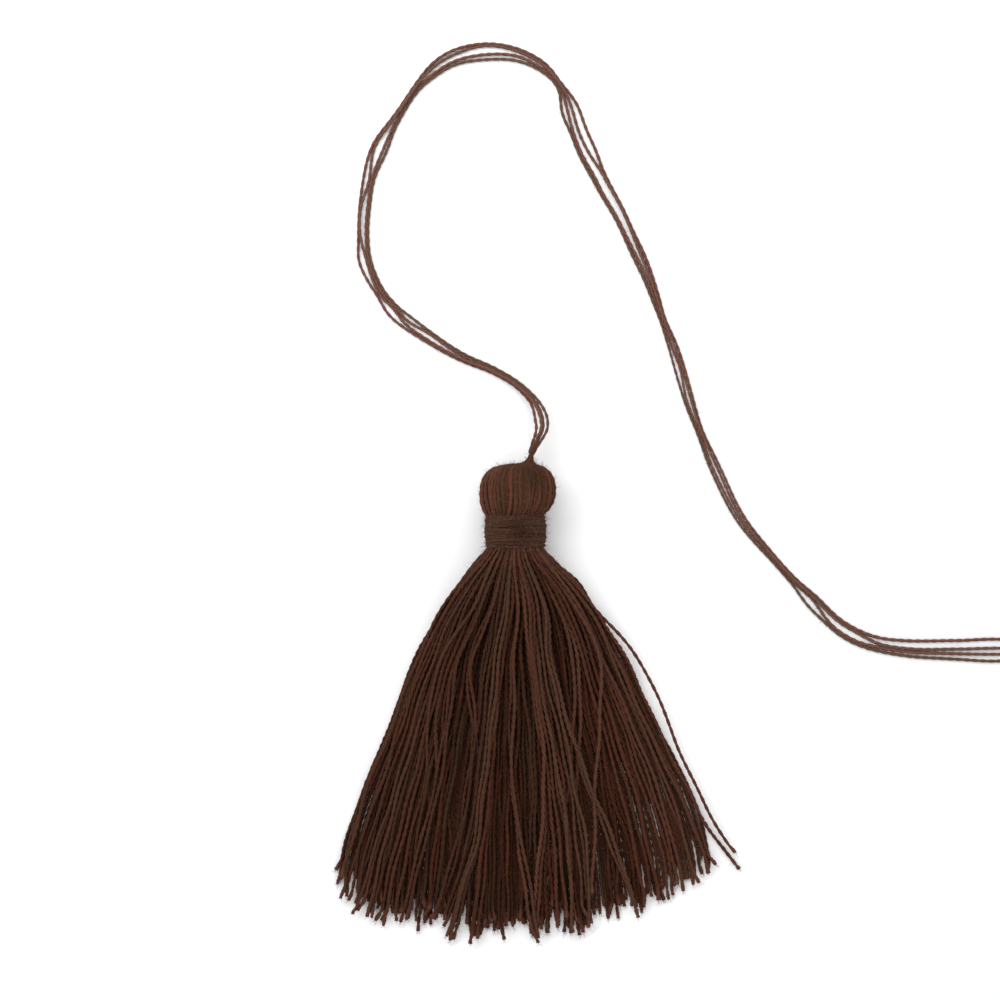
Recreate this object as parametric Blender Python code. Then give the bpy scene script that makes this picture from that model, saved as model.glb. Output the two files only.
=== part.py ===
"""A small cotton tassel lying on its side, with its long hanging cord.

The origin is the middle of the tassel's footprint on the surface that it lies on. +Y runs up the
tassel to its head, +X is to its right, and +Z is up from the surface. All sizes are in metres.
"""

import math
from collections import namedtuple

import bmesh
import bpy
import numpy as np
from mathutils import Matrix, Vector

MM = 0.001
GAP = 0.3 * MM  # kept between pieces that would touch

# The neck, which everything else is placed from.
AXIS_X = -2.4 * MM  # the tassel's own centreline
NECK_TOP = 21.5 * MM
NECK_BOTTOM = 17.5 * MM
NECK_Z = 3.7 * MM
CORE_RADIUS = 2.7 * MM
BINDING_RADIUS = 3.55 * MM
BINDING_TURNS = 8
BINDING_RIDGE = 0.14 * MM
BINDING_SIDES = 36
NECK_MARGIN = 0.1 * MM  # how far the round neck goes on past the binding

# The backing's grid of cells: each cell grows one strand of the skirt.
COLUMNS = 28
ROWS = 6
ROOT_INSET = 0.06 * MM

# The hank is folded over the cord, so its yarns run over the head as flutes.
HeadRing = namedtuple("HeadRing", "y x half_width half_height z flute")
HEAD_RINGS = [
    HeadRing(27.95, -0.60, 0.30, 0.30, 4.10, 0.00),
    HeadRing(27.65, -0.70, 0.50, 0.50, 4.09, 0.02),
    HeadRing(27.34, -1.00, 0.84, 0.80, 4.07, 0.04),
    HeadRing(27.14, -1.42, 1.48, 1.42, 4.05, 0.07),
    HeadRing(26.92, -1.75, 2.30, 2.20, 4.02, 0.10),
    HeadRing(26.62, -1.92, 3.02, 2.90, 3.99, 0.13),
    HeadRing(26.20, -1.90, 3.55, 3.40, 3.96, 0.14),
    HeadRing(25.35, -2.00, 4.10, 4.05, 3.95, 0.14),
    HeadRing(24.50, -2.00, 4.26, 4.22, 3.95, 0.14),
    HeadRing(23.50, -2.05, 4.26, 4.22, 3.95, 0.14),
    HeadRing(22.60, -2.15, 4.02, 4.05, 3.92, 0.14),
    HeadRing(22.05, -2.30, 3.60, 3.62, 3.80, 0.12),
    HeadRing(21.80, -2.40, 3.10, 3.10, 3.72, 0.06),
]

# Below the binding the fused yarns spread from a round neck into the flat oval of the backing.
SHOULDER_LENGTH = 4.5 * MM  # along a strand, from the binding to the backing
SHOULDER_RISE = 1.2 * MM  # how far the backing's two ends are above its middle
BACKING_Z = 3.5 * MM
BACKING_HALF_HEIGHT = 3.3 * MM
BACKING_END = 0.45  # height of the backing's ends, as a share of its middle
BACKING_ROUND = 0.1  # how much narrower the backing is at its top and bottom
ShoulderRing = namedtuple("ShoulderRing", "along half_width half_height z oval")
SHOULDER_RINGS = [
    ShoulderRing(0.30, 3.10, 3.10, 3.68, 0.00),
    ShoulderRing(0.75, 3.75, 3.35, 3.65, 0.10),
    ShoulderRing(1.80, 4.60, 3.42, 3.60, 0.35),
    ShoulderRing(3.20, 5.60, 3.38, 3.55, 0.70),
]

# The skirt's outline, as it lies: distances down from the binding and out from the axis.
OutlineRow = namedtuple("OutlineRow", "down left right")
OUTLINE = [
    OutlineRow(0.0, 3.1, 3.3),
    OutlineRow(2.5, 5.0, 5.6),
    OutlineRow(6.0, 7.7, 8.4),
    OutlineRow(10.5, 10.5, 11.2),
    OutlineRow(17.5, 13.5, 15.4),
    OutlineRow(26.5, 16.9, 19.2),
    OutlineRow(35.0, 19.8, 23.0),
    OutlineRow(50.0, 24.0, 28.6),
]
OUTLINE_SAMPLES = 120

# Each row of strands is a layer of the pile that the skirt makes on the surface.
LayerRow = namedtuple("LayerRow", "span settled lean lock")
LAYERS = [
    LayerRow(1.00, 13.0, 0.03, 0.4),
    LayerRow(0.99, 17.0, -0.05, 2.1),
    LayerRow(0.96, 22.0, 0.06, 4.4),
    LayerRow(0.92, 28.0, -0.04, 1.2),
    LayerRow(0.86, 34.0, 0.05, 5.3),
    LayerRow(0.79, 40.0, -0.05, 3.0),
]
LAYER_PITCH = 0.52 * MM
LOCKS = 5  # strands of a layer draw together into about this many locks
LOCK_PULL = 0.26
LOOSE_FROM = 8.0 * MM  # above this the strands are held by the shoulder
STRAND_LENGTH = 45.3 * MM  # of the longest, from the binding
SIDE_SHORTER = 4.0 * MM  # the outermost strands end this much sooner
LENGTH_JITTER = 2.4 * MM
PLACE_JITTER = 0.05 * MM
SEED = 11

# A strand's section at each of its stations; its last station is its cut tip.
StrandStation = namedtuple("StrandStation", "along width height")
STATIONS = [
    StrandStation(8.5, 0.46, 0.42),
    StrandStation(13.0, 0.54, 0.40),
    StrandStation(21.0, 0.58, 0.40),
    StrandStation(32.0, 0.58, 0.40),
    StrandStation(math.inf, 0.56, 0.40),
]

# Two strands of the right edge spring away from the others.
StrayStrand = namedtuple("StrayStrand", "row swell tip_out length")
STRAYS = [
    StrayStrand(0, 0.6, 2.1, 43.4),
    StrayStrand(1, 1.6, 0.6, 41.6),
]
STRAY_SWELL_AT = 12.0 * MM
STRAY_SWELL_REACH = 7.0 * MM
STRAY_TIP_POWER = 4  # higher turns the tip out later

# The hanging cord: where it runs, from the head's peak to its coil. On the surface its height
# is the cord's own radius.
CORD_DIAMETER = 1.4 * MM
CORD_LIFT = 0.02 * MM  # kept between the cord and the surface
CORD_Z = CORD_DIAMETER / 2 + CORD_LIFT
CORD_POINT_SPACING = 2 * CORD_DIAMETER
ROUTE_SAMPLES = 40  # read from the smooth curve for each point of the route
ROUTE_OFF_SURFACE = [
    (-0.60, 28.25, 4.10),
    (-0.15, 29.40, 4.00),
    (0.62, 31.10, 3.30),
    (0.20, 33.50, 2.20),
    (-1.90, 36.00, 1.20),
]
ROUTE_ON_SURFACE = [
    (-5.06, 37.95),
    (-8.17, 39.25),
    (-12.60, 41.85),
    (-15.75, 44.30),
    (-17.95, 46.95),
    (-19.35, 50.00),
    (-19.90, 53.20),
    (-19.60, 57.50),
    (-18.80, 61.20),
    (-17.45, 64.50),
    (-15.60, 67.60),
    (-13.20, 71.00),
    (-9.90, 73.60),
    (-5.80, 74.50),
    (-1.80, 74.00),
    (1.20, 72.40),
    (2.80, 70.50),
    (4.20, 67.10),
    (5.90, 63.00),
    (7.80, 59.00),
    (9.50, 56.00),
    (10.95, 52.90),
    (12.60, 49.30),
    (14.55, 43.80),
    (15.90, 40.10),
    (18.30, 32.30),
    (20.80, 26.20),
    (23.45, 20.95),
    (27.45, 16.10),
    (31.50, 11.75),
    (35.40, 8.10),
    (38.50, 6.55),
    (42.50, 5.70),
    (48.00, 5.55),
    (54.00, 5.60),
]

# What is left of the cord is put away in a round coil, tied once, with a knot at its end.
COIL_RADIUS = 7.5 * MM  # at the middle of its turns
COIL_X = 65.0 * MM
COIL_HALF_WIDTH = 1.5 * MM
COIL_HALF_HEIGHT = 1.6 * MM
COIL_STEPS = 60
COIL_SIDES = 12
COIL_SQUARENESS = 2.6  # 2 would be an ellipse
TIE_ANGLE = math.radians(235)
TIE_PINCH_RADIUS = 0.85 * MM
TIE_THICKNESS = 0.42 * MM
TIE_TURNS = 3
TIE_RIDGE = 0.1 * MM
TIE_SIDES = 24
TIE_HOLD = 0.9 * MM  # the coil is fully pinched this far to each side of the tie
TIE_RELEASE = 3.2 * MM  # and at its full size from here
KNOT_ANGLE = math.radians(-20)  # where it lies round the coil
KNOT_TURN_OUT = math.radians(40)  # how far it turns away from the coil's own turns
KNOT_Z = 1.3 * MM
KNOT_SIDES = 20
KnotRing = namedtuple("KnotRing", "along radius")
KNOT_RINGS = [
    KnotRing(0.00, 0.70),
    KnotRing(0.25, 1.10),
    KnotRing(0.80, 1.38),
    KnotRing(1.25, 1.20),
    KnotRing(1.70, 1.34),
    KnotRing(2.30, 1.15),
    KnotRing(2.65, 0.78),
    KnotRing(3.60, 0.95),
    KnotRing(5.60, 1.30),
]

YARN_BROWN = (0.060, 0.024, 0.013, 1.0)
BINDING_BROWN = (0.042, 0.018, 0.011, 1.0)
CORD_BROWN = (0.120, 0.058, 0.037, 1.0)
MATT = 0.9  # the roughness of cotton


def make_material(name, colour):
    material = bpy.data.materials.new(name)
    material.use_nodes = True
    shader = material.node_tree.nodes["Principled BSDF"]
    shader.inputs["Base Color"].default_value = colour
    shader.inputs["Roughness"].default_value = MATT
    shader.inputs["Metallic"].default_value = 0.0
    return material


def add_object(name, bm, colour, sharp_angle=40):
    """Closes a bmesh into an object of its own, with its own material and soft shading."""
    bmesh.ops.recalc_face_normals(bm, faces=bm.faces)
    mesh = bpy.data.meshes.new(name)
    bm.to_mesh(mesh)
    bm.free()
    mesh.shade_smooth()
    mesh.set_sharp_from_angle(angle=math.radians(sharp_angle))
    mesh.materials.append(make_material(name, colour))
    made = bpy.data.objects.new(name, mesh)
    bpy.context.scene.collection.objects.link(made)
    return made


def smooth_through(knots, values, at):
    """A cubic through the values at the knots, with the slope of its neighbours at each."""
    knots = np.asarray(knots, float)
    values = np.asarray(values, float)
    at = np.asarray(at, float)
    slopes = np.gradient(values, knots, axis=0)
    left = np.clip(np.searchsorted(knots, at, side="right") - 1, 0, len(knots) - 2)
    span = knots[left + 1] - knots[left]
    t = (at - knots[left]) / span
    if values.ndim > 1:
        t = t[:, None]
        span = span[:, None]
    start = (1 + 2 * t) * (1 - t) ** 2 * values[left] + t * (1 - t) ** 2 * span * slopes[left]
    end = t**2 * (3 - 2 * t) * values[left + 1] + t**2 * (t - 1) * span * slopes[left + 1]
    return start + end


def ease(t):
    """0 up to t = 0, 1 from t = 1, and smooth between them."""
    t = np.clip(t, 0, 1)
    return t * t * (3 - 2 * t)


def join_rings(bm, rings):
    """Lays quads between neighbouring closed rings of vertices."""
    for upper, lower in zip(rings, rings[1:]):
        for k in range(len(upper)):
            n = (k + 1) % len(upper)
            bm.faces.new([upper[k], upper[n], lower[n], lower[k]])


# --- The head and skirt ---------------------------------------------------------------------


def backing_shape(u, v):
    """Where the backing's point (u, v) lies in its oval, both from -1 to 1."""
    across = u * (1 - BACKING_ROUND * v**2)
    height = BACKING_END + (1 - BACKING_END) * math.sqrt(max(0.0, 1 - u**2))
    return across, v * height


def backing_rim():
    """The grid's outer corners (column, row), once round from the lower left."""
    bottom = [(i, 0) for i in range(COLUMNS)]
    right = [(COLUMNS, j) for j in range(ROWS)]
    top = [(i, ROWS) for i in range(COLUMNS, 0, -1)]
    left = [(0, j) for j in range(ROWS, 0, -1)]
    return bottom + right + top + left


def grid_uv(i, j):
    return 2 * i / COLUMNS - 1, 2 * j / ROWS - 1


def half_widths(down):
    """The skirt's reach to the left and to the right of its axis, at a distance down."""
    rows = np.array(OUTLINE) * MM
    left = smooth_through(rows[:, 0], rows[:, 1], down)
    right = smooth_through(rows[:, 0], rows[:, 2], down)
    return left, right


def ring_points(x, y, z, half_width, half_height, flute=0.0, oval=0.0):
    """One ring of the head or shoulder, from round (oval 0) to the backing's oval (oval 1).

    The yarns' flutes lower every second point. Nothing reaches below the surface at z = 0.
    """
    rim = backing_rim()
    first_angle = math.pi * (1 + ROWS / len(rim))
    points = []
    for k, corner in enumerate(rim):
        u, v = grid_uv(*corner)
        angle = first_angle + 2 * math.pi * k / len(rim)
        groove = 1 - flute * (k % 2) / half_width * MM
        across, up = backing_shape(u, v)
        across = (1 - oval) * math.cos(angle) * groove + oval * across
        up = (1 - oval) * math.sin(angle) * groove + oval * up
        points.append(
            (
                x + half_width * across,
                y + oval * SHOULDER_RISE * u**2,
                max(0.0, z + half_height * up),
            )
        )
    return points


def head_and_shoulder_rings():
    """All ring outlines, from the head's peak down to the last one above the backing."""
    rings = []
    for row in HEAD_RINGS:
        rings.append(
            ring_points(
                row.x * MM,
                row.y * MM,
                row.z * MM,
                row.half_width * MM,
                row.half_height * MM,
                flute=row.flute,
            )
        )
    for y in (NECK_TOP + NECK_MARGIN, NECK_BOTTOM - NECK_MARGIN):
        rings.append(ring_points(AXIS_X, y, NECK_Z, CORE_RADIUS, CORE_RADIUS))
    for row in SHOULDER_RINGS:
        left, right = half_widths(np.array([row.along * MM]))
        lean = float(right[0] - left[0]) / 2 * row.oval
        rings.append(
            ring_points(
                AXIS_X + lean,
                NECK_BOTTOM - row.along * MM,
                row.z * MM,
                row.half_width * MM,
                row.half_height * MM,
                oval=row.oval,
            )
        )
    return rings


def add_backing(bm):
    """The backing's grid of cells across the shoulder's lower end, and its rim in order."""
    left, right = half_widths(np.array([SHOULDER_LENGTH - SHOULDER_RISE]))
    half_width = float(left[0] + right[0]) / 2
    middle = AXIS_X + float(right[0] - left[0]) / 2
    corners = {}
    for i in range(COLUMNS + 1):
        for j in range(ROWS + 1):
            u, v = grid_uv(i, j)
            across, up = backing_shape(u, v)
            corners[i, j] = bm.verts.new(
                (
                    middle + half_width * across,
                    NECK_BOTTOM - SHOULDER_LENGTH + SHOULDER_RISE * u**2,
                    BACKING_Z + BACKING_HALF_HEIGHT * up,
                )
            )
    cells = []
    for j in range(ROWS):
        for i in range(COLUMNS):
            around = [corners[i, j], corners[i + 1, j], corners[i + 1, j + 1], corners[i, j + 1]]
            cells.append(bm.faces.new(around))
    return cells, [corners[corner] for corner in backing_rim()]


def strand_sections(column, row, draw):
    """The centres and headings of one strand at each station.

    A strand follows its share u of the skirt's outline, so strands of one layer never cross.
    Layers lean and gather differently, so strands of different layers do. Its height falls
    from the backing to its layer in the pile, steeply at first.
    """
    layer = LAYERS[row]
    u = (column + 0.5) * 2 / COLUMNS - 1
    v = (row + 0.5) * 2 / ROWS - 1
    stray = next((s for s in STRAYS if s.row == row and column == COLUMNS - 1), None)
    length = STRAND_LENGTH - SIDE_SHORTER * abs(u * layer.span) ** 3
    length -= LENGTH_JITTER * draw.random()
    shift = PLACE_JITTER * draw.uniform(-1, 1)
    if stray:
        length = stray.length * MM

    down = np.linspace(0, OUTLINE[-1].down * MM, OUTLINE_SAMPLES)
    loose = ease((down - LOOSE_FROM) / (STRAND_LENGTH - LOOSE_FROM))
    spread = 1 + (layer.span - 1) * ease(down / STRAND_LENGTH)
    wave = math.pi * LOCKS  # shares run from -1 to 1, so each lock is 2 / LOCKS wide
    share = u * spread * (1 + loose / (COLUMNS - 1))
    share = share + loose * layer.lean * (1 - u**2)
    share = share + loose * LOCK_PULL * math.sin(wave * u + layer.lock) / wave
    left, right = half_widths(down)
    x = AXIS_X + share * np.where(share < 0, left, right) + loose * shift
    if stray:
        swell = np.exp(-(((down - STRAY_SWELL_AT) / STRAY_SWELL_REACH) ** 2))
        x = x + stray.swell * MM * swell + stray.tip_out * MM * loose**STRAY_TIP_POWER
    along = np.concatenate([[0], np.cumsum(np.hypot(np.diff(x), np.diff(down)))])

    stops = np.array([min(s.along * MM, length) for s in STATIONS])
    at_x = np.interp(stops, along, x)
    at_y = NECK_BOTTOM - np.interp(stops, along, down)
    heading_x = np.interp(stops, along, np.gradient(x, along))
    heading_y = -np.interp(stops, along, np.gradient(down, along))

    root_z = BACKING_Z + BACKING_HALF_HEIGHT * backing_shape(u, v)[1]
    layer_z = STATIONS[-1].height * MM / 2 + LAYER_PITCH * row
    fall = np.clip((stops - SHOULDER_LENGTH) / (layer.settled * MM - SHOULDER_LENGTH), 0, 1)
    at_z = root_z + (layer_z - root_z) * (1 - (1 - fall) ** 2)
    centres = np.column_stack([at_x, at_y, at_z])
    headings = np.column_stack([heading_x, heading_y])
    return centres, headings


def place_section(face, centre, heading, width, height):
    """Moves an end face's four corners, in the order of add_backing's cells, to a section."""
    aside = Vector((-heading[1], heading[0], 0)).normalized() * width / 2
    up = Vector((0, 0, height / 2))
    middle = Vector(centre)
    for loop, (side, rise) in zip(face.loops, ((-1, -1), (1, -1), (1, 1), (-1, 1))):
        loop.vert.co = middle + side * aside + rise * up


def grow_strands(bm, cells, number):
    """Insets every cell of the backing, and draws the inset faces out into strands."""
    draw = np.random.default_rng(SEED)
    strands = []
    for n, cell in enumerate(cells):
        cell[number] = n
        strands.append(strand_sections(n % COLUMNS, n // COLUMNS, draw))
    bm.normal_update()
    bmesh.ops.inset_individual(bm, faces=cells, thickness=ROOT_INSET, use_even_offset=True)
    ends = cells
    for station, row in enumerate(STATIONS):
        ends = bmesh.ops.extrude_discrete_faces(bm, faces=ends)["faces"]
        for face in ends:
            centres, headings = strands[face[number]]
            place_section(
                face, centres[station], headings[station], row.width * MM, row.height * MM
            )


def make_head_and_skirt():
    """The folded hank: fluted head, neck, shoulder, and the cut strands, in one piece."""
    bm = bmesh.new()
    number = bm.faces.layers.int.new("strand")
    cells, rim = add_backing(bm)
    rings = []
    for outline in head_and_shoulder_rings():
        rings.append([bm.verts.new(point) for point in outline])
    join_rings(bm, rings + [rim])
    bm.faces.new(rings[0])
    grow_strands(bm, cells, number)
    add_object("head_and_skirt", bm, YARN_BROWN)


# --- The thread round the neck --------------------------------------------------------------


def turned_ring(bm, centre, axis, profile, sides):
    """A closed profile of (along the axis, radius) points, turned once round the axis."""
    turn = Vector((0, 0, 1)).rotation_difference(Vector(axis)).to_matrix().to_4x4()
    place = Matrix.Translation(centre) @ turn
    rings = []
    for along, radius in profile:
        ring = []
        for k in range(sides):
            angle = 2 * math.pi * k / sides
            ring.append(
                bm.verts.new(
                    place @ Vector((radius * math.cos(angle), radius * math.sin(angle), along))
                )
            )
        rings.append(ring)
    join_rings(bm, rings + rings[:1])


def ridged_band(inner, outer, ridge, length, turns):
    """The section of a band of thread: a ridge for each turn outside, plain inside."""
    profile = [(-length / 2, inner), (-length / 2, outer - ridge)]
    for turn in range(turns):
        start = -length / 2 + length * turn / turns
        profile.append((start + length / turns / 2, outer))
        profile.append((start + length / turns, outer - ridge))
    return profile + [(length / 2, inner)]


def make_neck_binding():
    bm = bmesh.new()
    profile = ridged_band(
        CORE_RADIUS + GAP,
        BINDING_RADIUS,
        BINDING_RIDGE,
        NECK_TOP - NECK_BOTTOM,
        BINDING_TURNS,
    )
    middle = (AXIS_X, (NECK_TOP + NECK_BOTTOM) / 2, NECK_Z)
    turned_ring(bm, middle, (0, -1, 0), profile, BINDING_SIDES)
    add_object("neck_binding", bm, BINDING_BROWN)


# --- The hanging cord, its coil, tie and knot -----------------------------------------------


def cord_end():
    """Where the loose cord stops, a gap short of the coil that it runs into from outside."""
    outer = COIL_RADIUS + COIL_HALF_WIDTH
    inner_side = COIL_RADIUS - CORD_DIAMETER / 2
    return COIL_X - math.sqrt(outer**2 - inner_side**2) - GAP


def cord_route():
    """The cord's centreline, read at even spacing from a smooth curve through its route."""
    route = [(x * MM, y * MM, z * MM) for x, y, z in ROUTE_OFF_SURFACE]
    route += [(x * MM, y * MM, CORD_Z) for x, y in ROUTE_ON_SURFACE]
    route.append((cord_end(), route[-1][1], CORD_Z))
    route = np.array(route)
    chords = np.linalg.norm(np.diff(route, axis=0), axis=1)
    knots = np.concatenate([[0], np.cumsum(chords)])
    fine = smooth_through(knots, route, np.linspace(0, knots[-1], ROUTE_SAMPLES * len(route)))
    fine[:, 2] = np.maximum(fine[:, 2], CORD_Z)
    length = np.concatenate([[0], np.cumsum(np.linalg.norm(np.diff(fine, axis=0), axis=1))])
    stops = np.linspace(0, length[-1], round(length[-1] / CORD_POINT_SPACING))
    return np.column_stack([np.interp(stops, length, fine[:, k]) for k in range(3)])


def make_hanging_cord():
    points = cord_route()
    curve = bpy.data.curves.new("hanging_cord", "CURVE")
    curve.dimensions = "3D"
    curve.bevel_depth = CORD_DIAMETER / 2
    curve.bevel_resolution = 2
    curve.use_fill_caps = True
    spline = curve.splines.new("POLY")
    spline.points.add(len(points) - 1)
    for point, place in zip(spline.points, points):
        point.co = (*place, 1)
    spline.use_smooth = True
    curve.materials.append(make_material("hanging_cord", CORD_BROWN))
    cord = bpy.data.objects.new("hanging_cord", curve)
    bpy.context.scene.collection.objects.link(cord)


def coil_centre():
    """The coil lies beside the route's end, so that the cord runs into it along a tangent."""
    return Vector((COIL_X, ROUTE_ON_SURFACE[-1][1] * MM - COIL_RADIUS, 0))


def coil_section(shrink):
    """The rounded outline of the coil's turns, as (outwards, height), flat on the surface.

    shrink goes from 0, its full size, to 1, drawn in to the tie's pinch.
    """
    half_width = COIL_HALF_WIDTH + (TIE_PINCH_RADIUS - COIL_HALF_WIDTH) * shrink
    half_height = COIL_HALF_HEIGHT + (TIE_PINCH_RADIUS - COIL_HALF_HEIGHT) * shrink
    power = 2 / (COIL_SQUARENESS + (2 - COIL_SQUARENESS) * shrink)
    section = []
    for k in range(COIL_SIDES):
        angle = 2 * math.pi * (k + 0.5) / COIL_SIDES
        across = math.copysign(abs(math.cos(angle)) ** power, math.cos(angle))
        up = math.copysign(abs(math.sin(angle)) ** power, math.sin(angle))
        section.append((half_width * across, COIL_HALF_HEIGHT + half_height * up))
    return section


def make_cord_coil():
    """The cord's remaining turns as one ring, pinched where the tie holds it."""
    bm = bmesh.new()
    centre = coil_centre()
    lowest = min(height for _, height in coil_section(0))
    rings = []
    for step in range(COIL_STEPS):
        angle = TIE_ANGLE + 2 * math.pi * step / COIL_STEPS
        turned = min(step, COIL_STEPS - step) / COIL_STEPS
        from_tie = 2 * math.pi * COIL_RADIUS * turned
        shrink = 1 - float(ease((from_tie - TIE_HOLD) / (TIE_RELEASE - TIE_HOLD)))
        ring = []
        for across, height in coil_section(shrink):
            radius = COIL_RADIUS + across
            place = Vector((radius * math.cos(angle), radius * math.sin(angle), height - lowest))
            ring.append(bm.verts.new(centre + place))
        rings.append(ring)
    join_rings(bm, rings + rings[:1])
    add_object("cord_coil", bm, CORD_BROWN)


def make_coil_tie():
    """A few turns of thread round the coil's pinched place."""
    bm = bmesh.new()
    outwards = Vector((math.cos(TIE_ANGLE), math.sin(TIE_ANGLE), 0))
    along = Vector((-math.sin(TIE_ANGLE), math.cos(TIE_ANGLE), 0))
    lowest = min(height for _, height in coil_section(0))
    middle = coil_centre() + outwards * COIL_RADIUS
    middle.z = COIL_HALF_HEIGHT - lowest
    inner = TIE_PINCH_RADIUS + GAP
    profile = ridged_band(
        inner, inner + TIE_THICKNESS, TIE_RIDGE, TIE_THICKNESS * TIE_TURNS, TIE_TURNS
    )
    turned_ring(bm, middle, along, profile, TIE_SIDES)
    for vertex in bm.verts:
        vertex.co.z = max(vertex.co.z, 0)
    add_object("coil_tie", bm, CORD_BROWN)


def make_end_knot():
    """The knot that ends the cord, with the cut ends of its yarns behind it."""
    bm = bmesh.new()
    outwards = Vector((math.cos(KNOT_ANGLE), math.sin(KNOT_ANGLE), 0))
    heading_angle = KNOT_ANGLE - math.pi / 2 + KNOT_TURN_OUT
    heading = Vector((math.cos(heading_angle), math.sin(heading_angle), 0))
    aside = Vector((0, 0, 1)).cross(heading)
    widest = max(KNOT_RINGS[:-1], key=lambda row: row.radius)
    clear = GAP + (widest.radius - widest.along * math.sin(KNOT_TURN_OUT)) * MM
    start = coil_centre() + outwards * (COIL_RADIUS + COIL_HALF_WIDTH + clear)
    rings = []
    for row in KNOT_RINGS:
        ring = []
        for k in range(KNOT_SIDES):
            angle = 2 * math.pi * k / KNOT_SIDES
            place = start + heading * row.along * MM
            place += aside * math.cos(angle) * row.radius * MM
            place.z = max(0.0, KNOT_Z + math.sin(angle) * row.radius * MM)
            ring.append(bm.verts.new(place))
        rings.append(ring)
    join_rings(bm, rings)
    bm.faces.new(rings[0])
    bm.faces.new(rings[-1])
    add_object("end_knot", bm, CORD_BROWN)


def main():
    for old in list(bpy.data.objects):
        bpy.data.objects.remove(old, do_unlink=True)
    make_head_and_skirt()
    make_neck_binding()
    make_hanging_cord()
    make_cord_coil()
    make_coil_tie()
    make_end_knot()


main()
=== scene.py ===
# %% [markdown]
# # A small cotton tassel with its hanging cord
# The tassel is a hank of two-ply cotton, folded over a cord and bound round the neck. It lies on
# its side on a pale surface. Every yarn in it is modelled here as a surface of its own. The frame
# holds the plain solid parts that these yarns replace. It is loaded first and is never changed.

# %% The frame
import math
from collections import namedtuple

import bpy
import numpy as np
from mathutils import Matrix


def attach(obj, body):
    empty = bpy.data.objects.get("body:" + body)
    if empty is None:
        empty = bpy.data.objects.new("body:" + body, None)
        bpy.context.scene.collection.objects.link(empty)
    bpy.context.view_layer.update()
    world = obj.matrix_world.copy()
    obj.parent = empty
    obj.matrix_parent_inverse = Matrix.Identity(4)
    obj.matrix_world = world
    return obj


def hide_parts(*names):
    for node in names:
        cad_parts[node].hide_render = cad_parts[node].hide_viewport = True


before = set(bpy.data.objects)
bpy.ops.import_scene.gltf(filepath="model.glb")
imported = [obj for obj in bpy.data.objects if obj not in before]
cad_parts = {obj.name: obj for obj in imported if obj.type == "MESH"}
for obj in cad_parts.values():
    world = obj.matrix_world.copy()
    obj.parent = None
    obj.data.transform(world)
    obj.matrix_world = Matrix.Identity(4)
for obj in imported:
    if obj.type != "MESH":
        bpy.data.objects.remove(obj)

MM = 0.001
FULL_TURN = 2 * math.pi
UP = np.array([0.0, 0.0, 1.0])
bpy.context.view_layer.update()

# %% [markdown]
# ## Camera, floor and light
# A tassel is flat when it lies down, so it is seen from straight above. A long lens keeps the
# raised head from looking larger than the tips. One broad lamp, high and to the upper left,
# gives each yarn a light side and a soft shadow. The white world around it fills the shadows in.

# %% Camera
VIEW_WIDTH = 115 * MM  # of the surface, from side to side of the picture
VIEW_MIDDLE = np.array([-4.14, 23.0]) * MM
LENS = 100
SENSOR = 36

lens = bpy.data.cameras.new("camera")
lens.lens = LENS
lens.sensor_width = SENSOR
camera = bpy.data.objects.new("camera", lens)
camera.location = (*VIEW_MIDDLE, VIEW_WIDTH * LENS / SENSOR)
bpy.context.scene.collection.objects.link(camera)
bpy.context.scene.camera = camera
print("camera at", tuple(round(v, 4) for v in camera.location))

# %% Light
SKY = 0.98
LAMP_SIZE = 0.80
LAMP_PLACE = (-0.26, 0.46, 0.62)
LAMP_POWER = 11.0

world = bpy.data.worlds.new("studio")
world.use_nodes = True
world.node_tree.nodes["Background"].inputs["Color"].default_value = (1, 1, 1, 1)
world.node_tree.nodes["Background"].inputs["Strength"].default_value = SKY
bpy.context.scene.world = world
bpy.context.scene.view_settings.view_transform = "Standard"

bulb = bpy.data.lights.new("key_lamp", "AREA")
bulb.size = LAMP_SIZE
bulb.energy = LAMP_POWER
lamp = bpy.data.objects.new("key_lamp", bulb)
lamp.location = LAMP_PLACE
aim = np.array([*VIEW_MIDDLE, 0]) - LAMP_PLACE
tilt = math.acos(-aim[2] / np.linalg.norm(aim))
lamp.rotation_euler = (tilt, 0, math.atan2(aim[0], -aim[1]))
bpy.context.scene.collection.objects.link(lamp)
print("one lamp of", LAMP_POWER, "W, tilted by", round(math.degrees(tilt)), "degrees")

# %% [markdown]
# ## Shader maths in plain signs
# A material is a small sum: so much of this noise, less in the grooves, more at the tips. Node
# trees hide such sums, so a socket is wrapped in a class whose `+`, `-` and `*` add Math nodes.
# Everything else comes from one method that takes a node's kind, its settings and its sockets.

# %% A socket and a shader
class Socket:
    """An output in a shader, and the maths that can be done with it."""

    def __init__(self, shader, output):
        self.shader = shader
        self.output = output

    def sum_with(self, operation, first, second):
        return self.shader.node("ShaderNodeMath", {"operation": operation}, {0: first, 1: second})

    def __add__(self, other):
        return self.sum_with("ADD", self, other)

    def __radd__(self, other):
        return self.sum_with("ADD", other, self)

    def __sub__(self, other):
        return self.sum_with("SUBTRACT", self, other)

    def __rsub__(self, other):
        return self.sum_with("SUBTRACT", other, self)

    def __mul__(self, other):
        return self.sum_with("MULTIPLY", self, other)

    def __rmul__(self, other):
        return self.sum_with("MULTIPLY", other, self)


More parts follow.
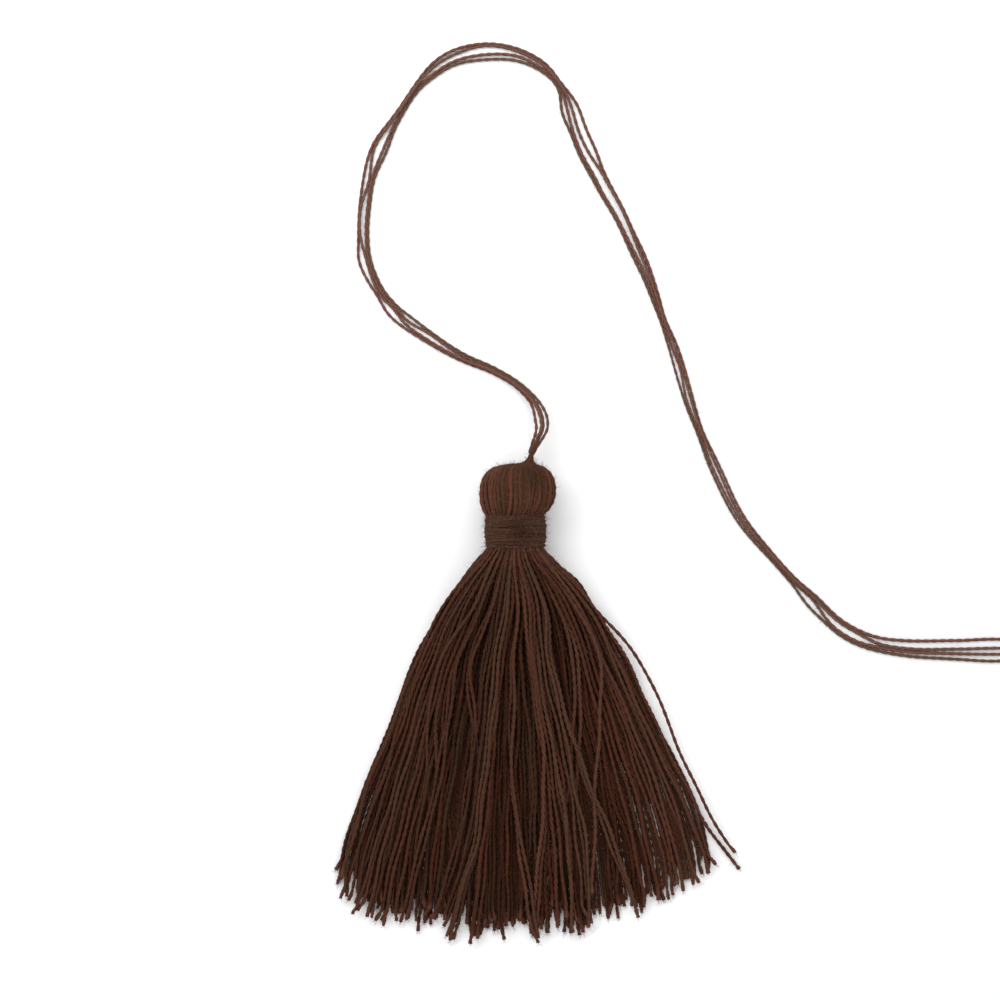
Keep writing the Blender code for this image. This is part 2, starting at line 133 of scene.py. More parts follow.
class Shader:
    """A material with a Principled BSDF, and ways to add nodes to it."""

    def __init__(self, name):
        self.material = bpy.data.materials.new(name)
        self.material.use_nodes = True
        self.tree = self.material.node_tree
        self.surface = self.tree.nodes["Principled BSDF"]

    def node(self, kind, settings=None, inputs=None, output=0):
        """Adds a node: its settings first, then the values or links of its sockets."""
        made = self.tree.nodes.new(kind)
        for name, value in (settings or {}).items():
            setattr(made, name, value)
        for name, value in (inputs or {}).items():
            self.set(made.inputs[name], value)
        return Socket(self, made.outputs[output])

    def set(self, socket, value):
        """Links a socket, or gives it a constant."""
        if isinstance(value, Socket):
            self.tree.links.new(value.output, socket)
        else:
            socket.default_value = value

    def finish(self, **values):
        """Sets the surface's own sockets, whose names are written with underscores."""
        for name, value in values.items():
            self.set(self.surface.inputs[name.replace("_", " ")], value)
        return self.material

    def mix(self, amount, first, second):
        """Goes from the first colour to the second as the amount goes from 0 to 1."""
        return self.node(
            "ShaderNodeMix", {"data_type": "RGBA"}, {0: amount, 6: first, 7: second}, output=2
        )

    def noise(self, place, scale, detail=2.0, roughness=0.5):
        return self.node(
            "ShaderNodeTexNoise",
            {"noise_dimensions": "3D"},
            {"Vector": place, "Scale": scale, "Detail": detail, "Roughness": roughness},
        )

    def stretched(self, place, by):
        return self.node("ShaderNodeVectorMath", {"operation": "MULTIPLY"}, {0: place, 1: by})

    def attribute(self, name):
        return self.node("ShaderNodeAttribute", {"attribute_name": name}, output="Fac")

    def between(self, value, low, high):
        """Stretches a value so that low becomes 0 and high becomes 1, with both ends held."""
        return self.node(
            "ShaderNodeMapRange", {"clamp": True}, {"Value": value, "From Min": low, "From Max": high}
        )


print("shader maths ready")

# %% [markdown]
# ## The floor
# A plain pale sheet lies just under the tassel and catches its soft shadows. It is stage and not
# part of the object. It is large enough to fill the picture from above.

# %% The floor
FLOOR_HALF = 1.2
FLOOR_DROP = 0.05 * MM

floor_mesh = bpy.data.meshes.new("floor")
signs = ((-1, -1), (1, -1), (1, 1), (-1, 1))
corners = [(FLOOR_HALF * x, FLOOR_HALF * y, -FLOOR_DROP) for x, y in signs]
floor_mesh.from_pydata(corners, [], [(0, 1, 2, 3)])
floor = bpy.data.objects.new("floor", floor_mesh)
bpy.context.scene.collection.objects.link(floor)
paper = Shader("pale_floor")
floor_mesh.materials.append(
    paper.finish(Base_Color=(0.93, 0.93, 0.94, 1), Roughness=0.9, Specular_IOR_Level=0.1)
)
print("floor is", 2 * FLOOR_HALF, "m wide")

# %% [markdown]
# ## What a yarn is
# Sewing cotton of this kind is two-ply: two thin threads wound round each other. A single thread
# could be a tube with a bump map, but the plies show at the outline of every strand, so here they
# are in the shape. The section is two touching circles, and it turns as it goes along the yarn.
# All yarns of a piece are worked out at once, as one array of yarns by stations by sides.

# %% The yarn's section
PLY_RADIUS = 0.178 * MM
PLY_OFFSET = 0.076 * MM  # of each ply's middle from the yarn's own
YARN_RADIUS = PLY_OFFSET + PLY_RADIUS
TWIST_PITCH = 1.90 * MM  # one whole turn of the two plies
YARN_SIDES = 8


def unit(vectors):
    """Each vector divided by its own length."""
    return vectors / np.linalg.norm(vectors, axis=-1, keepdims=True)


def ply_section(around):
    """How far the outline of two circles is from the point between them.

    Towards a ply's middle it is the offset plus the radius. At an angle a from there it is
    offset * |cos a| + sqrt(radius^2 - offset^2 * sin^2 a), and the waist is where a is 90 degrees.
    """
    across = PLY_OFFSET * np.abs(np.cos(around))
    return across + np.sqrt(PLY_RADIUS**2 - (PLY_OFFSET * np.sin(around)) ** 2)


def along_path(centres):
    """The length of each path up to each of its stations."""
    steps = np.linalg.norm(np.diff(centres, axis=-2), axis=-1)
    start = np.zeros(centres.shape[:-2] + (1,))
    return np.concatenate([start, np.cumsum(steps, axis=-1)], axis=-1)


def yarn_rings(centres, up=UP, scale=1.0, turn=0.0, pitch=TWIST_PITCH):
    """The surface of many yarns: centre + section * (cos * aside + sin * upwards).

    The two directions are square to the path and turn with the twist, once every pitch, so the
    corners of neighbouring rings stay on the same ply. Gives (yarns, stations, sides, 3).
    """
    heading = unit(np.gradient(centres, axis=1))
    aside = unit(np.cross(heading, up))
    above = np.cross(aside, heading)
    around = FULL_TURN * np.arange(YARN_SIDES) / YARN_SIDES
    reach = ply_section(around) * np.asarray(scale)[..., None]
    twist = FULL_TURN * along_path(centres) / pitch + turn
    angle = twist[..., None] + around
    outwards = np.cos(angle)[..., None] * aside[:, :, None]
    outwards = outwards + np.sin(angle)[..., None] * above[:, :, None]
    return centres[:, :, None] + reach[..., None] * outwards


print("a yarn is", round(2000 * YARN_RADIUS, 3), "mm thick at its widest")

# %% [markdown]
# ## From rings to a mesh
# The rings of each yarn are joined by quads, and each cut end is closed by a fan to a middle
# point. Index arithmetic on whole arrays makes the faces, and `foreach_set` hands them over, so
# a hundred thousand faces take a moment. Numbers that the materials need travel as attributes:
# how light the yarn is, by its own tone and in the skirt by painted shade, and how it took the dye,
# how deep a corner lies in the groove, where shade is painted, and how near it is to the cut tip.

# %% Mesh from rings
def ring_faces(yarns, stations, sides):
    """The quads along each yarn and the triangles at both of its ends, facing outwards."""
    first = np.arange(yarns)[:, None, None] * stations * sides
    row = np.arange(stations - 1)[None, :, None] * sides
    side = np.arange(sides)
    after = (side + 1) % sides
    ring = first + row
    quads = np.stack([ring + side, ring + sides + side, ring + sides + after, ring + after], axis=-1)
    start = np.arange(yarns)[:, None] * stations * sides
    last = start + (stations - 1) * sides
    middle = yarns * stations * sides + np.arange(yarns)[:, None]
    near = np.stack([middle + 0 * side, start + side, start + after], axis=-1)
    far = np.stack([middle + yarns + 0 * side, last + after, last + side], axis=-1)
    return quads.reshape(-1, 4), np.concatenate([near.reshape(-1, 3), far.reshape(-1, 3)])


def fill_mesh(name, points, quads, triangles):
    """A mesh object from whole arrays of points and faces."""
    mesh = bpy.data.meshes.new(name)
    corners = np.concatenate([quads.ravel(), triangles.ravel()])
    starts = np.concatenate(
        [4 * np.arange(len(quads)), 4 * len(quads) + 3 * np.arange(len(triangles))]
    )
    mesh.vertices.add(len(points))
    mesh.loops.add(len(corners))
    mesh.polygons.add(len(starts))
    mesh.vertices.foreach_set("co", points.astype(np.float32).ravel())
    mesh.loops.foreach_set("vertex_index", corners.astype(np.int32))
    mesh.polygons.foreach_set("loop_start", starts.astype(np.int32))
    mesh.update(calc_edges=True)
    mesh.shade_smooth()
    made = bpy.data.objects.new(name, mesh)
    bpy.context.scene.collection.objects.link(made)
    return made


def set_attribute(mesh, name, values):
    """One number for each point, for the materials to read."""
    attribute = mesh.attributes.new(name, "FLOAT", "POINT")
    attribute.data.foreach_set("value", np.ascontiguousarray(values, np.float32).ravel())


def yarn_object(name, rings, tone_and_shade, tip=None, dye=None):
    """A piece from the rings of its yarns, with their attributes and a map along them.

    The map "yarn" has u once around the yarn, and v along it in millimetres.
    """
    yarns, stations, sides, _ = rings.shape
    middles = rings.mean(axis=2)
    points = np.concatenate([rings.reshape(-1, 3), middles[:, 0], middles[:, -1]])
    quads, triangles = ring_faces(yarns, stations, sides)
    made = fill_mesh(name, points, quads, triangles)
    shape = (yarns, stations, sides)
    deep = 1 - ply_section(FULL_TURN * np.arange(sides) / sides) / YARN_RADIUS
    tip = np.zeros((yarns, stations)) if tip is None else tip
    dye = np.random.default_rng(yarns).random(yarns) if dye is None else dye
    length = along_path(middles) / MM
    ends = np.zeros(2 * yarns)
    per_point = {
        "tone_and_shade": (np.broadcast_to(tone_and_shade[:, None, None], shape), np.tile(tone_and_shade, 2)),
        "dye": (np.broadcast_to(dye[:, None, None], shape), np.tile(dye, 2)),
        "groove": (np.broadcast_to(deep, shape), ends),
        "tip": (np.broadcast_to(tip[:, :, None], shape), np.repeat([0.0, 1.0], yarns)),
    }
    for attribute, (on_sides, on_ends) in per_point.items():
        set_attribute(made.data, attribute, np.concatenate([on_sides.ravel(), on_ends]))
    place_v = np.concatenate([np.broadcast_to(length[:, :, None], shape).ravel(), ends])
    corner_of = np.concatenate([quads.ravel(), triangles.ravel()])
    side = np.arange(sides)
    around = np.stack([side, side, side + 1, side + 1], axis=-1) / sides
    u = np.concatenate([np.tile(around.ravel(), yarns * (stations - 1)), np.zeros(triangles.size)])
    uv = made.data.uv_layers.new(name="yarn")
    uv.data.foreach_set("uv", np.stack([u, place_v[corner_of]], axis=-1).astype(np.float32).ravel())
    return made


def triangle_count(made):
    made.data.calc_loop_triangles()
    return len(made.data.loop_triangles)


print("rings become meshes")

# %% [markdown]
# ## Smooth lines through a few points
# A cord or a strand is laid out by a few points and then read much more finely. The cubic here
# takes the slope at each point from its neighbours, so it bends softly and goes through them all.

# %% A cubic through points
def smooth_through(knots, values, at):
    """A cubic between each two knots, whose slopes at the knots are those of their neighbours.

    With t from 0 to 1 between two knots, it is (1 + 2t)(1 - t)^2 of the left value plus
    t^2 (3 - 2t) of the right one, and the slopes by t (1 - t)^2 and t^2 (t - 1).
    """
    knots = np.asarray(knots, float)
    values = np.asarray(values, float)
    slopes = np.gradient(values, knots, axis=0)
    left = np.clip(np.searchsorted(knots, at, side="right") - 1, 0, len(knots) - 2)
    span = (knots[left + 1] - knots[left])[:, None]
    t = (np.asarray(at) - knots[left])[:, None] / span
    return cubic(t, values[left], values[left + 1], span * slopes[left], span * slopes[left + 1])


def cubic(t, start, end, start_slope, end_slope):
    from_start = (1 + 2 * t) * (1 - t) ** 2 * start + t * (1 - t) ** 2 * start_slope
    return from_start + t**2 * (3 - 2 * t) * end + t**2 * (t - 1) * end_slope


def smooth_yarns(nodes, at):
    """The same cubic through each yarn's own evenly spaced nodes.

    nodes is (yarns, nodes, 3), and at holds node numbers with fractions, (yarns, stations).
    """
    slopes = np.gradient(nodes, axis=1)
    left = np.clip(np.floor(at).astype(int), 0, nodes.shape[1] - 2)
    t = (at - left)[..., None]
    here = left[..., None]
    start = np.take_along_axis(nodes, here, axis=1)
    end = np.take_along_axis(nodes, here + 1, axis=1)
    start_slope = np.take_along_axis(slopes, here, axis=1)
    end_slope = np.take_along_axis(slopes, here + 1, axis=1)
    return cubic(t, start, end, start_slope, end_slope)


def even_along(points, spacing):
    """Reads a line at even spacing along its own length."""
    length = along_path(points)
    stops = np.linspace(0, length[-1], round(length[-1] / spacing) + 1)
    return np.stack([np.interp(stops, length, column) for column in points.T], axis=-1)


def ease(t):
    """0 up to t = 0, 1 from t = 1, and smooth between them: t^2 (3 - 2t)."""
    t = np.clip(t, 0, 1)
    return t * t * (3 - 2 * t)


print("halfway,", ease(0.5))

# %% [markdown]
# ## Letting yarns come to rest
# Yarns that are laid out by a rule would run through each other. Real ones push each other away
# and sink until something holds them up. This does the same, a little at a time: slice by slice
# each two yarns that are too close move apart, weight draws all of them down, a yarn's own
# stiffness evens out what it was moved by, and nothing goes below the surface that it lies on.

# %% Settling
SIDE_PUSH = 0.15  # of what is missing between two yarns, in each round
UP_PUSH = 0.45
MOST_MISSING = 4
MOST_PUSH = 0.2 * MM


def settle(places, apart, floor, rounds, weight=0.03 * MM, hold=0.05, stiff=0.35, loft=0.8):
    """Moves (slices, yarns, 3) places until yarns of a slice are apart, as they would lie.

    A pair nearer than `apart` is pushed along the line between them by what is missing, less
    sideways than up and down, and heights count a little less, by the loft. Then the yarns sink
    by the weight, the move so far is averaged along each yarn by its stiffness, and part of the
    move over the surface is taken back.
    """
    aim = places.astype(np.float32)
    move = np.zeros_like(aim)
    apart = np.asarray(apart, np.float32).reshape(-1, 1, 1)
    floor = np.asarray(floor, np.float32).reshape(-1, 1)
    strength = np.array([SIDE_PUSH, SIDE_PUSH, UP_PUSH], np.float32)
    count_less = np.array([1, 1, loft], np.float32)
    for turn in range(rounds):
        now = aim + move
        gap = (now[:, :, None] - now[:, None]) * count_less
        distance = np.sqrt(np.einsum("ijkl,ijkl->ijk", gap, gap)) + 1e-9
        missing = np.clip(apart / distance - 1, 0, MOST_MISSING)
        push = np.einsum("ijk,ijkl->ijl", missing, gap) * strength
        push = np.clip(push, -MOST_PUSH, MOST_PUSH)
        sink = weight * (1 - turn / rounds)
        move[1:] += push[1:]
        move[1:, :, 2] -= sink
        even = (move[:-2] + move[2:]) / 2
        move[1:-1] += stiff * (even - move[1:-1])
        move[..., :2] *= 1 - hold
        move[..., 2] = np.maximum(move[..., 2], floor - aim[..., 2])
    return (aim + move).astype(float)


print("settling ready")

# %% [markdown]
# ## The hanging cord
# The cord is four yarns of the same cotton, laid side by side and hardly twisted. They part into
# two or three groups and come together again all along it. It leaves the head's peak, comes down
# onto the surface, makes one wide loop, and runs off to the right. What is left of it is wound
# into a small coil with a thread round it and a knot at the end. One smooth centreline carries
# the whole cord, and a table says how the four yarns lie beside each other along it.

# %% The cord's route
CORD_DIAMETER = 1.4 * MM
CORD_Z = CORD_DIAMETER / 2 + 0.02 * MM
ROUTE_OFF_SURFACE = (  # x, y, z in millimetres
    (-0.60, 28.25, 4.10), (-0.15, 29.40, 4.00), (0.62, 31.10, 3.30), (0.20, 33.50, 2.20),
    (-1.90, 36.00, 1.20),
)
ROUTE_ON_SURFACE = (  # x, y in millimetres
    (-5.06, 37.95), (-8.17, 39.25), (-12.60, 41.85), (-15.75, 44.30), (-17.95, 46.95),
    (-19.35, 50.00), (-19.90, 53.20), (-19.60, 57.50), (-18.80, 61.20), (-17.45, 64.50),
    (-15.60, 67.60), (-13.20, 71.00), (-9.90, 73.60), (-5.80, 74.50), (-1.80, 74.00),
    (1.20, 72.40), (2.80, 70.50), (4.20, 67.10), (5.90, 63.00), (7.80, 59.00),
    (9.50, 56.00), (10.95, 52.90), (12.60, 49.30), (14.55, 43.80), (15.90, 40.10),
    (18.30, 32.30), (20.80, 26.20), (23.45, 20.95), (27.45, 16.10), (31.50, 11.75),
    (35.40, 8.10), (38.50, 6.55), (42.50, 5.70), (48.00, 5.55), (54.00, 5.60),
)
COIL_RADIUS = 7.5 * MM
COIL_MIDDLE = np.array([65.0, 5.60 - 7.5]) * MM
COIL_STEP = 12  # degrees between the points that lay the coil out

# Degrees round the coil, and there the cord's distance from its middle and its height.
COIL_TURNS = (
    (0, 7.50, 0.72), (70, 8.15, 0.72), (165, 8.20, 0.75), (215, 7.92, 1.35),
    (265, 8.20, 0.75), (320, 7.80, 0.72), (390, 6.80, 0.72), (525, 6.80, 0.75),
    (575, 7.08, 1.35), (625, 6.80, 0.80), (700, 7.15, 1.65), (760, 7.55, 2.05),
    (800, 7.75, 1.95), (830, 10.17, 1.30),
)
CORD_SPACING = 0.28 * MM  # from station to station
FINER = 20  # readings of the cubic for each point of the route


def coil_points():
    """The coil's turns: clockwise from the top, by radius and height at each step."""
    rows = np.array(COIL_TURNS)
    turned = np.append(np.arange(0, rows[-1, 0] - COIL_STEP / 2, COIL_STEP), rows[-1, 0])
    radius, height = smooth_through(rows[:, 0], rows[:, 1:], turned).T * MM
    angle = np.radians(90 - turned)
    x = COIL_MIDDLE[0] + radius * np.cos(angle)
    y = COIL_MIDDLE[1] + radius * np.sin(angle)
    return np.stack([x, y, height], axis=-1)


route = np.array(ROUTE_OFF_SURFACE) * MM
on_surface = np.array(ROUTE_ON_SURFACE) * MM
on_surface = np.column_stack([on_surface, np.full(len(on_surface), CORD_Z)])
route = np.concatenate([route, on_surface, coil_points()])
knots = along_path(route)
fine = smooth_through(knots, route, np.linspace(0, knots[-1], FINER * len(route)))
fine[:, 2] = np.maximum(fine[:, 2], CORD_Z)
cord_line = even_along(fine, CORD_SPACING)

# %% How the four yarns lie in it
CORD_YARN_SCALE = 0.74
CORD_YARN_RADIUS = CORD_YARN_SCALE * YARN_RADIUS

# In millimetres: how far along the cord, and there each yarn's place to the left of its middle.
CORD_YARNS = (
    (0, 0.20, 0.06, -0.06, -0.20), (2, 0.42, 0.08, -0.10, -0.45), (4, 0.72, 0.10, -0.14, -0.66),
    (7.4, 0.38, 0.12, -0.12, -0.38), (9.8, 0.30, 0.12, -0.10, -0.30), (14.5, 0.34, 0.14, -0.12, -0.34),
    (18, 0.44, 0.24, -0.22, -0.46), (21.5, 0.56, 0.30, -0.42, -0.64), (24.5, 0.76, 0.30, -0.12, -0.70),
    (26.5, 0.84, -0.02, -0.26, -0.52), (28.8, 0.50, 0.18, -0.14, -0.44), (31, 0.66, 0.04, -0.22, -0.46),
    (33.2, 0.84, -0.04, -0.24, -0.46), (35.5, 0.52, 0.24, -0.38, -0.56), (39.5, 0.56, 0.34, -0.38, -0.56),
    (42, 0.66, 0.00, -0.30, -0.50), (46.5, 0.86, 0.60, -0.40, -0.84), (49, 0.50, 0.26, -0.26, -0.50),
    (52, 0.30, 0.10, -0.10, -0.30), (54.5, 0.34, 0.12, -0.12, -0.36), (57, 0.66, 0.30, -0.30, -0.62),
    (60, 0.86, 0.36, -0.36, -0.78), (63.5, 0.92, 0.72, -0.30, -0.88), (67.5, 0.70, 0.44, -0.10, -0.62),
    (70.5, 0.50, 0.20, -0.20, -0.46), (73.2, 0.28, 0.10, -0.10, -0.28), (76.5, 0.98, 0.24, -0.33, -0.98),
    (79, 0.90, 0.00, -0.62, -0.92), (82, 0.95, 0.13, -0.68, -0.95), (84.5, 0.76, 0.50, -0.46, -0.76),
    (87, 0.72, 0.54, -0.52, -0.68), (89, 0.66, 0.50, -0.48, -0.64), (91, 0.60, 0.44, -0.42, -0.58),
    (95, 0.64, 0.26, -0.26, -0.64), (98, 0.50, 0.18, -0.18, -0.52), (100.5, 0.40, 0.14, -0.14, -0.40),
    (102.6, 0.28, 0.10, -0.10, -0.28), (106, 0.50, 0.20, -0.14, -0.46), (109, 0.52, 0.26, 0.02, -0.58),
    (112, 0.50, 0.24, -0.26, -0.54), (116.8, 0.34, 0.12, -0.12, -0.34), (120.3, 0.54, 0.22, -0.24, -0.52),
    (126, 0.50, 0.18, -0.16, -0.50), (130, 0.42, 0.14, -0.14, -0.42), (134.5, 0.32, 0.10, -0.10, -0.32),
    (137, 0.36, 0.12, -0.12, -0.38), (140, 0.62, 0.34, 0.06, -0.80), (143, 0.66, 0.36, -0.40, -0.74),
    (146.5, 0.76, 0.46, -0.48, -0.76), (149.5, 0.90, 0.20, -0.20, -0.62), (153.6, 1.20, 0.25, -0.12, -0.62),
    (158.5, 1.30, 0.32, -0.22, -0.86), (163.3, 1.40, 0.38, -0.31, -1.10), (168, 0.80, 0.24, -0.12, -0.60),
    (174, 0.30, 0.10, -0.12, -0.32), (190, 0.42, 0.16, -0.16, -0.42), (204.5, 0.22, 0.08, -0.08, -0.22),
    (216, 0.42, 0.16, -0.16, -0.42), (234, 0.40, 0.14, -0.14, -0.40), (251, 0.22, 0.08, -0.08, -0.22),
    (262, 0.42, 0.16, -0.16, -0.40), (278, 0.38, 0.14, -0.14, -0.38), (285, 0.20, 0.06, -0.06, -0.20),
    (300, 0.16, 0.05, -0.05, -0.16),
)
SLICE = 4  # the yarns are settled at every fourth station
CORD_LIFTS = np.array([0.10, 0.30, 0.20, 0.0]) * MM  # how high each starts, before it settles
CORD_APART = 1.86 * CORD_YARN_RADIUS  # they press into each other a little
# Millimetres along the cord, and how thick its yarns are there.
CORD_THICK = (
    (0, 1.12), (20, 1.04), (60, 1.10), (95, 1.14), (106, 0.88), (134, 0.88), (146, 1.24), (190, 1.0),
)


def cord_yarn_lines(line):
    """The four yarns' middles: the cord's line plus their places across it, then settled."""
    slices = line[::SLICE]
    rows = np.array(CORD_YARNS)
    across = smooth_through(rows[:, 0], rows[:, 1:] * MM, along_path(slices) / MM)
    heading = unit(np.gradient(slices, axis=0))
    left = unit(np.cross(UP, heading))
    floor = np.maximum(slices[:, 2] - CORD_Z + CORD_YARN_RADIUS, CORD_YARN_RADIUS)
    places = slices[:, None] + across[:, :, None] * left[:, None]
    places[:, :, 2] = floor[:, None] + CORD_LIFTS
    laid = settle(places, np.full(len(slices), CORD_APART), floor, rounds=90, hold=0.35, stiff=0.2)
    at = np.minimum(np.arange(len(line)) / SLICE, len(slices) - 1)
    return smooth_yarns(laid.transpose(1, 0, 2), np.broadcast_to(at, (4, len(line))))


cord_yarns = cord_yarn_lines(cord_line)
print(len(CORD_YARNS), "rows lay the four yarns out")

# %% The cord as a mesh
LOWEST = 0.01 * MM


def above_floor(rings):
    """Nothing reaches into the surface below."""
    rings[..., 2] = np.maximum(rings[..., 2], LOWEST)
    return rings


draw = np.random.default_rng(5)
cord_thick = np.interp(along_path(cord_line) / MM, *np.transpose(CORD_THICK))
cord_rings = yarn_rings(
    cord_yarns,
    scale=CORD_YARN_SCALE * cord_thick[None],
    turn=draw.uniform(0, FULL_TURN, (4, 1)),
)
cord = yarn_object("cord_yarns", above_floor(cord_rings), draw.uniform(0.4, 0.8, 4))
print("the cord has", triangle_count(cord), "triangles")

# %% [markdown]
# ## The tie and the knot
# Both are windings: a thread at a radius from an axis, while it moves along it. The tie is three
# turns of one yarn, flat and tight round the pinched coil. The knot is two layers of yarns that go
# round side by side, five in each, and four cut ends stick out behind it.

# %% Windings
def wound(origin, axis, angle, radius, along):
    """A winding: origin + axis * along + radius * (cos angle * aside + sin angle * above)."""
    axis = unit(np.array(axis, float))
    aside = unit(np.cross(axis, UP))
    above = np.cross(aside, axis)
    spoke = np.cos(angle)[..., None] * aside + np.sin(angle)[..., None] * above
    return origin + along[..., None] * axis + radius[..., None] * spoke, spoke


TIE_TURNED = 215  # degrees round the coil
TIE_Z = 1.00 * MM
TIE_HALF_WIDTH = 1.12 * MM  # of its middle line, which lies tight round the two turns
TIE_HALF_HEIGHT = 0.66 * MM
TIE_TURNS = 3.4
TIE_STEP = 0.40 * MM  # along the coil for each turn
TIE_DIP = 0.35 * MM  # how far both of its ends tuck in
TIE_STATIONS = 150

tie_angle = math.radians(90 - TIE_TURNED)
tie_out = np.array([math.cos(tie_angle), math.sin(tie_angle), 0])
tie_axis = np.array([-math.sin(tie_angle), math.cos(tie_angle), 0])
tie_middle = np.array([*COIL_MIDDLE, TIE_Z]) + tie_out * COIL_RADIUS
turns = np.linspace(0, TIE_TURNS, TIE_STATIONS)
turned = FULL_TURN * turns
tie_radius = np.hypot(np.cos(turned) / TIE_HALF_WIDTH, np.sin(turned) / TIE_HALF_HEIGHT) ** -1
tie_radius -= TIE_DIP * (1 - ease(3 * np.minimum(turns, TIE_TURNS - turns)))
tie_along = TIE_STEP * (turns - TIE_TURNS / 2)
tie_line, tie_spoke = wound(tie_middle, tie_axis, turned, tie_radius, tie_along)
tie_rings = yarn_rings(tie_line[None], up=tie_spoke[None], scale=CORD_YARN_SCALE)
tie = yarn_object("tie_yarn", above_floor(tie_rings), np.array([0.5]))
print("the tie has", triangle_count(tie), "triangles")

# %% The knot
KNOT_ANGLE = math.radians(-20)
KNOT_OUT = 10.17 * MM
KNOT_HEADING = math.radians(-70)
KNOT_Z = 1.30 * MM
KNOT_LENGTH = 2.7 * MM
KNOT_TURNS = 1.35
KNOT_YARN_APART = 0.41 * MM
KNOT_BULGE = 0.16 * MM  # at its middle
KNOT_DIP = 0.50 * MM  # how far its yarns tuck in where they start and end
KnotLayer = namedtuple("KnotLayer", "yarns radius first_angle")
KNOT_LAYERS = [KnotLayer(5, 0.58, 0.5), KnotLayer(5, 0.95, 2.6)]
END_LENGTHS = np.array([2.9, 2.4, 3.1, 2.6]) * MM
END_FANS = np.radians([26, 9, -8, -24])
END_DROPS = np.array([-0.75, -0.95, -0.70, -0.95]) * MM
END_PLACES = np.array([0.22, 0.07, -0.07, -0.22]) * MM  # beside each other as they leave it
KNOT_STATIONS = 60

knot_start = np.array([*COIL_MIDDLE, KNOT_Z])
knot_start[:2] += KNOT_OUT * np.array([math.cos(KNOT_ANGLE), math.sin(KNOT_ANGLE)])
knot_axis = np.array([math.cos(KNOT_HEADING), math.sin(KNOT_HEADING), 0])


def knot_wraps(layer):
    """Yarns side by side round the knot, dipping inwards where they start and end."""
    t = np.linspace(0, 1, KNOT_STATIONS)
    place = (np.arange(layer.yarns)[:, None] - (layer.yarns - 1) / 2) * KNOT_YARN_APART
    bulge = KNOT_BULGE * np.cos((place / KNOT_LENGTH) * math.pi)
    inside = 1 - ease(5 * np.minimum(t, 1 - t))
    radius = layer.radius * MM + bulge - KNOT_DIP * inside
    along = KNOT_LENGTH / 2 + place * 0.95 + (t - 0.5) * KNOT_YARN_APART
    angle = FULL_TURN * KNOT_TURNS * t + layer.first_angle
    return wound(knot_start, knot_axis, np.broadcast_to(angle, along.shape), radius, along)


def knot_ends():
    """The four cut ends, which leave the knot together, fan out and drop to the surface."""
    t = np.linspace(-1, 1, KNOT_STATIONS)[None, :, None]
    far = np.clip(t, 0, 1)
    left = np.cross(UP, knot_axis)
    reach = END_LENGTHS[:, None, None] * t
    fan = np.sin(END_FANS)[:, None, None] * END_LENGTHS[:, None, None] * far**1.5
    beside = END_PLACES[:, None, None] + fan
    line = knot_start + knot_axis * (KNOT_LENGTH + reach) + left * beside
    line[..., 2] += END_DROPS[:, None] * far[..., 0] ** 2
    return line


knot_rings = [yarn_rings(knot_ends(), scale=CORD_YARN_SCALE)]
for layer in KNOT_LAYERS:
    wrap_line, wrap_spoke = knot_wraps(layer)
    knot_rings.append(yarn_rings(wrap_line, up=wrap_spoke, scale=CORD_YARN_SCALE))
knot_rings = above_floor(np.concatenate(knot_rings))
cut = np.zeros(knot_rings.shape[:2])
cut[:4] = np.clip(np.linspace(-3, 1, KNOT_STATIONS), 0, 1)
knot = yarn_object("knot_yarns", knot_rings, draw.uniform(0.4, 0.8, len(cut)), cut)
print("the knot has", triangle_count(knot), "triangles")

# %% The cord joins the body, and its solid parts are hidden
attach(cord, "root")
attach(tie, "root")
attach(knot, "root")
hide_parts("hanging_cord", "cord_coil")
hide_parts("coil_tie")
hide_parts("end_knot")

# %% [markdown]
# ## The skirt
# The skirt is the hank's cut ends, about two hundred and sixty of them. The lowest lie side by
# side as an even carpet, and looser ones are spread over it. The ones on top have drawn together
# into locks that part, cross and lean on each other, as fingers left them. A table says where each
# lock runs, and everything is then settled into one pile.

# %% The fan
AXIS_X = -2.4 * MM
NECK_BOTTOM = 17.5 * MM
NECK_TOP = 21.5 * MM
NECK_Z = 3.7 * MM
NECK_RADIUS = 2.85 * MM
ROOT_INSIDE = 1.0 * MM  # how far the strands start inside the binding
STRAND_LENGTH = 46.2 * MM  # of the longest, from the binding
CARPET_STRANDS = 110  # side by side on the surface, under all the others
SPREAD_STRANDS = 188  # with the carpet's
NODES = 38

# Millimetres down from the binding, and there the fan's reach to the left and the right.
FAN = (
    (3.7, 6.0, 7.1), (6.0, 7.6, 8.65), (10.0, 10.4, 11.2), (13.0, 11.8, 13.0), (20.0, 14.5, 16.1),
    (27.0, 17.5, 19.9), (34.0, 20.0, 22.5), (41.0, 21.3, 23.9), (48.0, 21.9, 25.4),
)

# A share of the fan, from -1 at its left edge to 1 at its right one, and the strands' length there.
HEM = (
    (-1.00, 43.3), (-0.85, 45.1), (-0.62, 46.0), (-0.48, 45.3), (-0.36, 45.0), (-0.25, 45.9),
    (0.00, 45.6), (0.30, 45.0), (0.60, 44.8), (0.80, 43.5), (1.00, 42.3),
)
UNEVEN_CUT = 2.0 * MM
SPREAD_SHORTER = 2.6 * MM  # at most, the strands underneath
